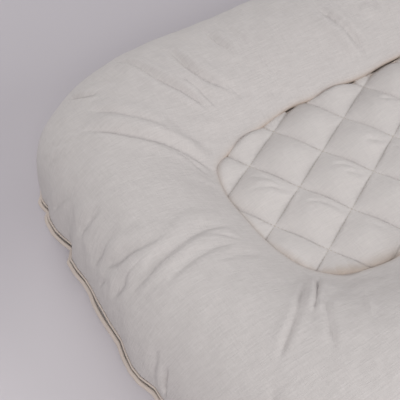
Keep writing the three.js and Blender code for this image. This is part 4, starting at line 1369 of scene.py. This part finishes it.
wall_side = ring_points(ways, WALL_INSET - FIBRE_GAP, np.array([FILL_TOP - WALL_LOWER, FILL_LOW]))
fill = np.hstack([skin_points(LINING_THICKNESS + FIBRE_GAP)[:, :-1], wall_side])
fill_piece = mesh_object("bumper_fibre", fill.reshape(-1, 3), ring_faces(RINGS, fill.shape[1], closed=True))
finish_piece(fill_piece, fibre, "bumper_fill")


# Floor and light: a plain pale surface with painted shade that darkens it a little towards the back, three
# broad soft lamps round the object, and an even surrounding light.
# The floor's colour fades from the near one to the back one: painted shade where the lamps' light falls off.
FLOOR_NEAR, FLOOR_BACK_SHADED = srgb(207, 202, 207), srgb(193, 188, 194)
FLOOR_HALF, FLOOR_HEIGHT = 6, -0.0003
FLOOR_FADE_END = 0.2
LAMP_AIM = Vector((-0.2, 0, 0.05))
LAMP_WIDTH = 1.4
WORLD_COLOUR, WORLD_STRENGTH = (1, 0.985, 1, 1), 0.32
floor_corners = [(-FLOOR_HALF, -FLOOR_HALF), (FLOOR_HALF, -FLOOR_HALF), (FLOOR_HALF, FLOOR_HALF),
                 (-FLOOR_HALF, FLOOR_HALF)]
floor = mesh_object("floor", [(*corner, FLOOR_HEIGHT) for corner in floor_corners], [(0, 1, 2, 3)])
floor_finish, floor_tree = new_material("floor")
floor_place = add_node(floor_tree, "ShaderNodeTexCoord").outputs["Object"]
floor_split = add_node(floor_tree, "ShaderNodeSeparateXYZ", Vector=floor_place)
floor_shade_share = add_node(
    floor_tree, "ShaderNodeMapRange", interpolation_type="SMOOTHSTEP", Value=floor_split.outputs[1],
    From_Min=0.0, From_Max=FLOOR_FADE_END).outputs[0]
shade(floor_tree, Base_Color=two_tone(floor_tree, floor_shade_share, FLOOR_NEAR, FLOOR_BACK_SHADED), Roughness=0.9)
floor.data.materials.append(floor_finish)

# Azimuth and elevation in degrees, distance, power and colour.
for name, azimuth, elevation, distance, power, colour in (
    ("key", 225, 47, 1.8, 17.5, (1, 0.99, 0.97)),
    ("near_side", 315, 22, 2.4, 24, (1, 1, 0.985)),
    ("far_side", 84, 22, 2.4, 20, (1, 1, 0.985)),
):
    azimuth, elevation = math.radians(azimuth), math.radians(elevation)
    level = math.cos(elevation)
    towards_lamp = Vector((math.cos(azimuth) * level, math.sin(azimuth) * level, math.sin(elevation)))
    lamp = in_scene(name, bpy.data.lights.new(name, "AREA"))
    lamp.data.shape = "DISK"
    lamp.data.size = LAMP_WIDTH
    lamp.data.energy = power
    lamp.data.color = colour
    lamp.location = LAMP_AIM + towards_lamp * distance
    lamp.rotation_mode = "QUATERNION"
    lamp.rotation_quaternion = towards_lamp.to_track_quat("Z", "Y")

world = bpy.data.worlds.new("studio")
world.use_nodes = True
background = world.node_tree.nodes["Background"]
background.inputs["Color"].default_value = WORLD_COLOUR
background.inputs["Strength"].default_value = WORLD_STRENGTH
bpy.context.scene.world = world
bpy.context.scene.view_settings.view_transform = "Standard"
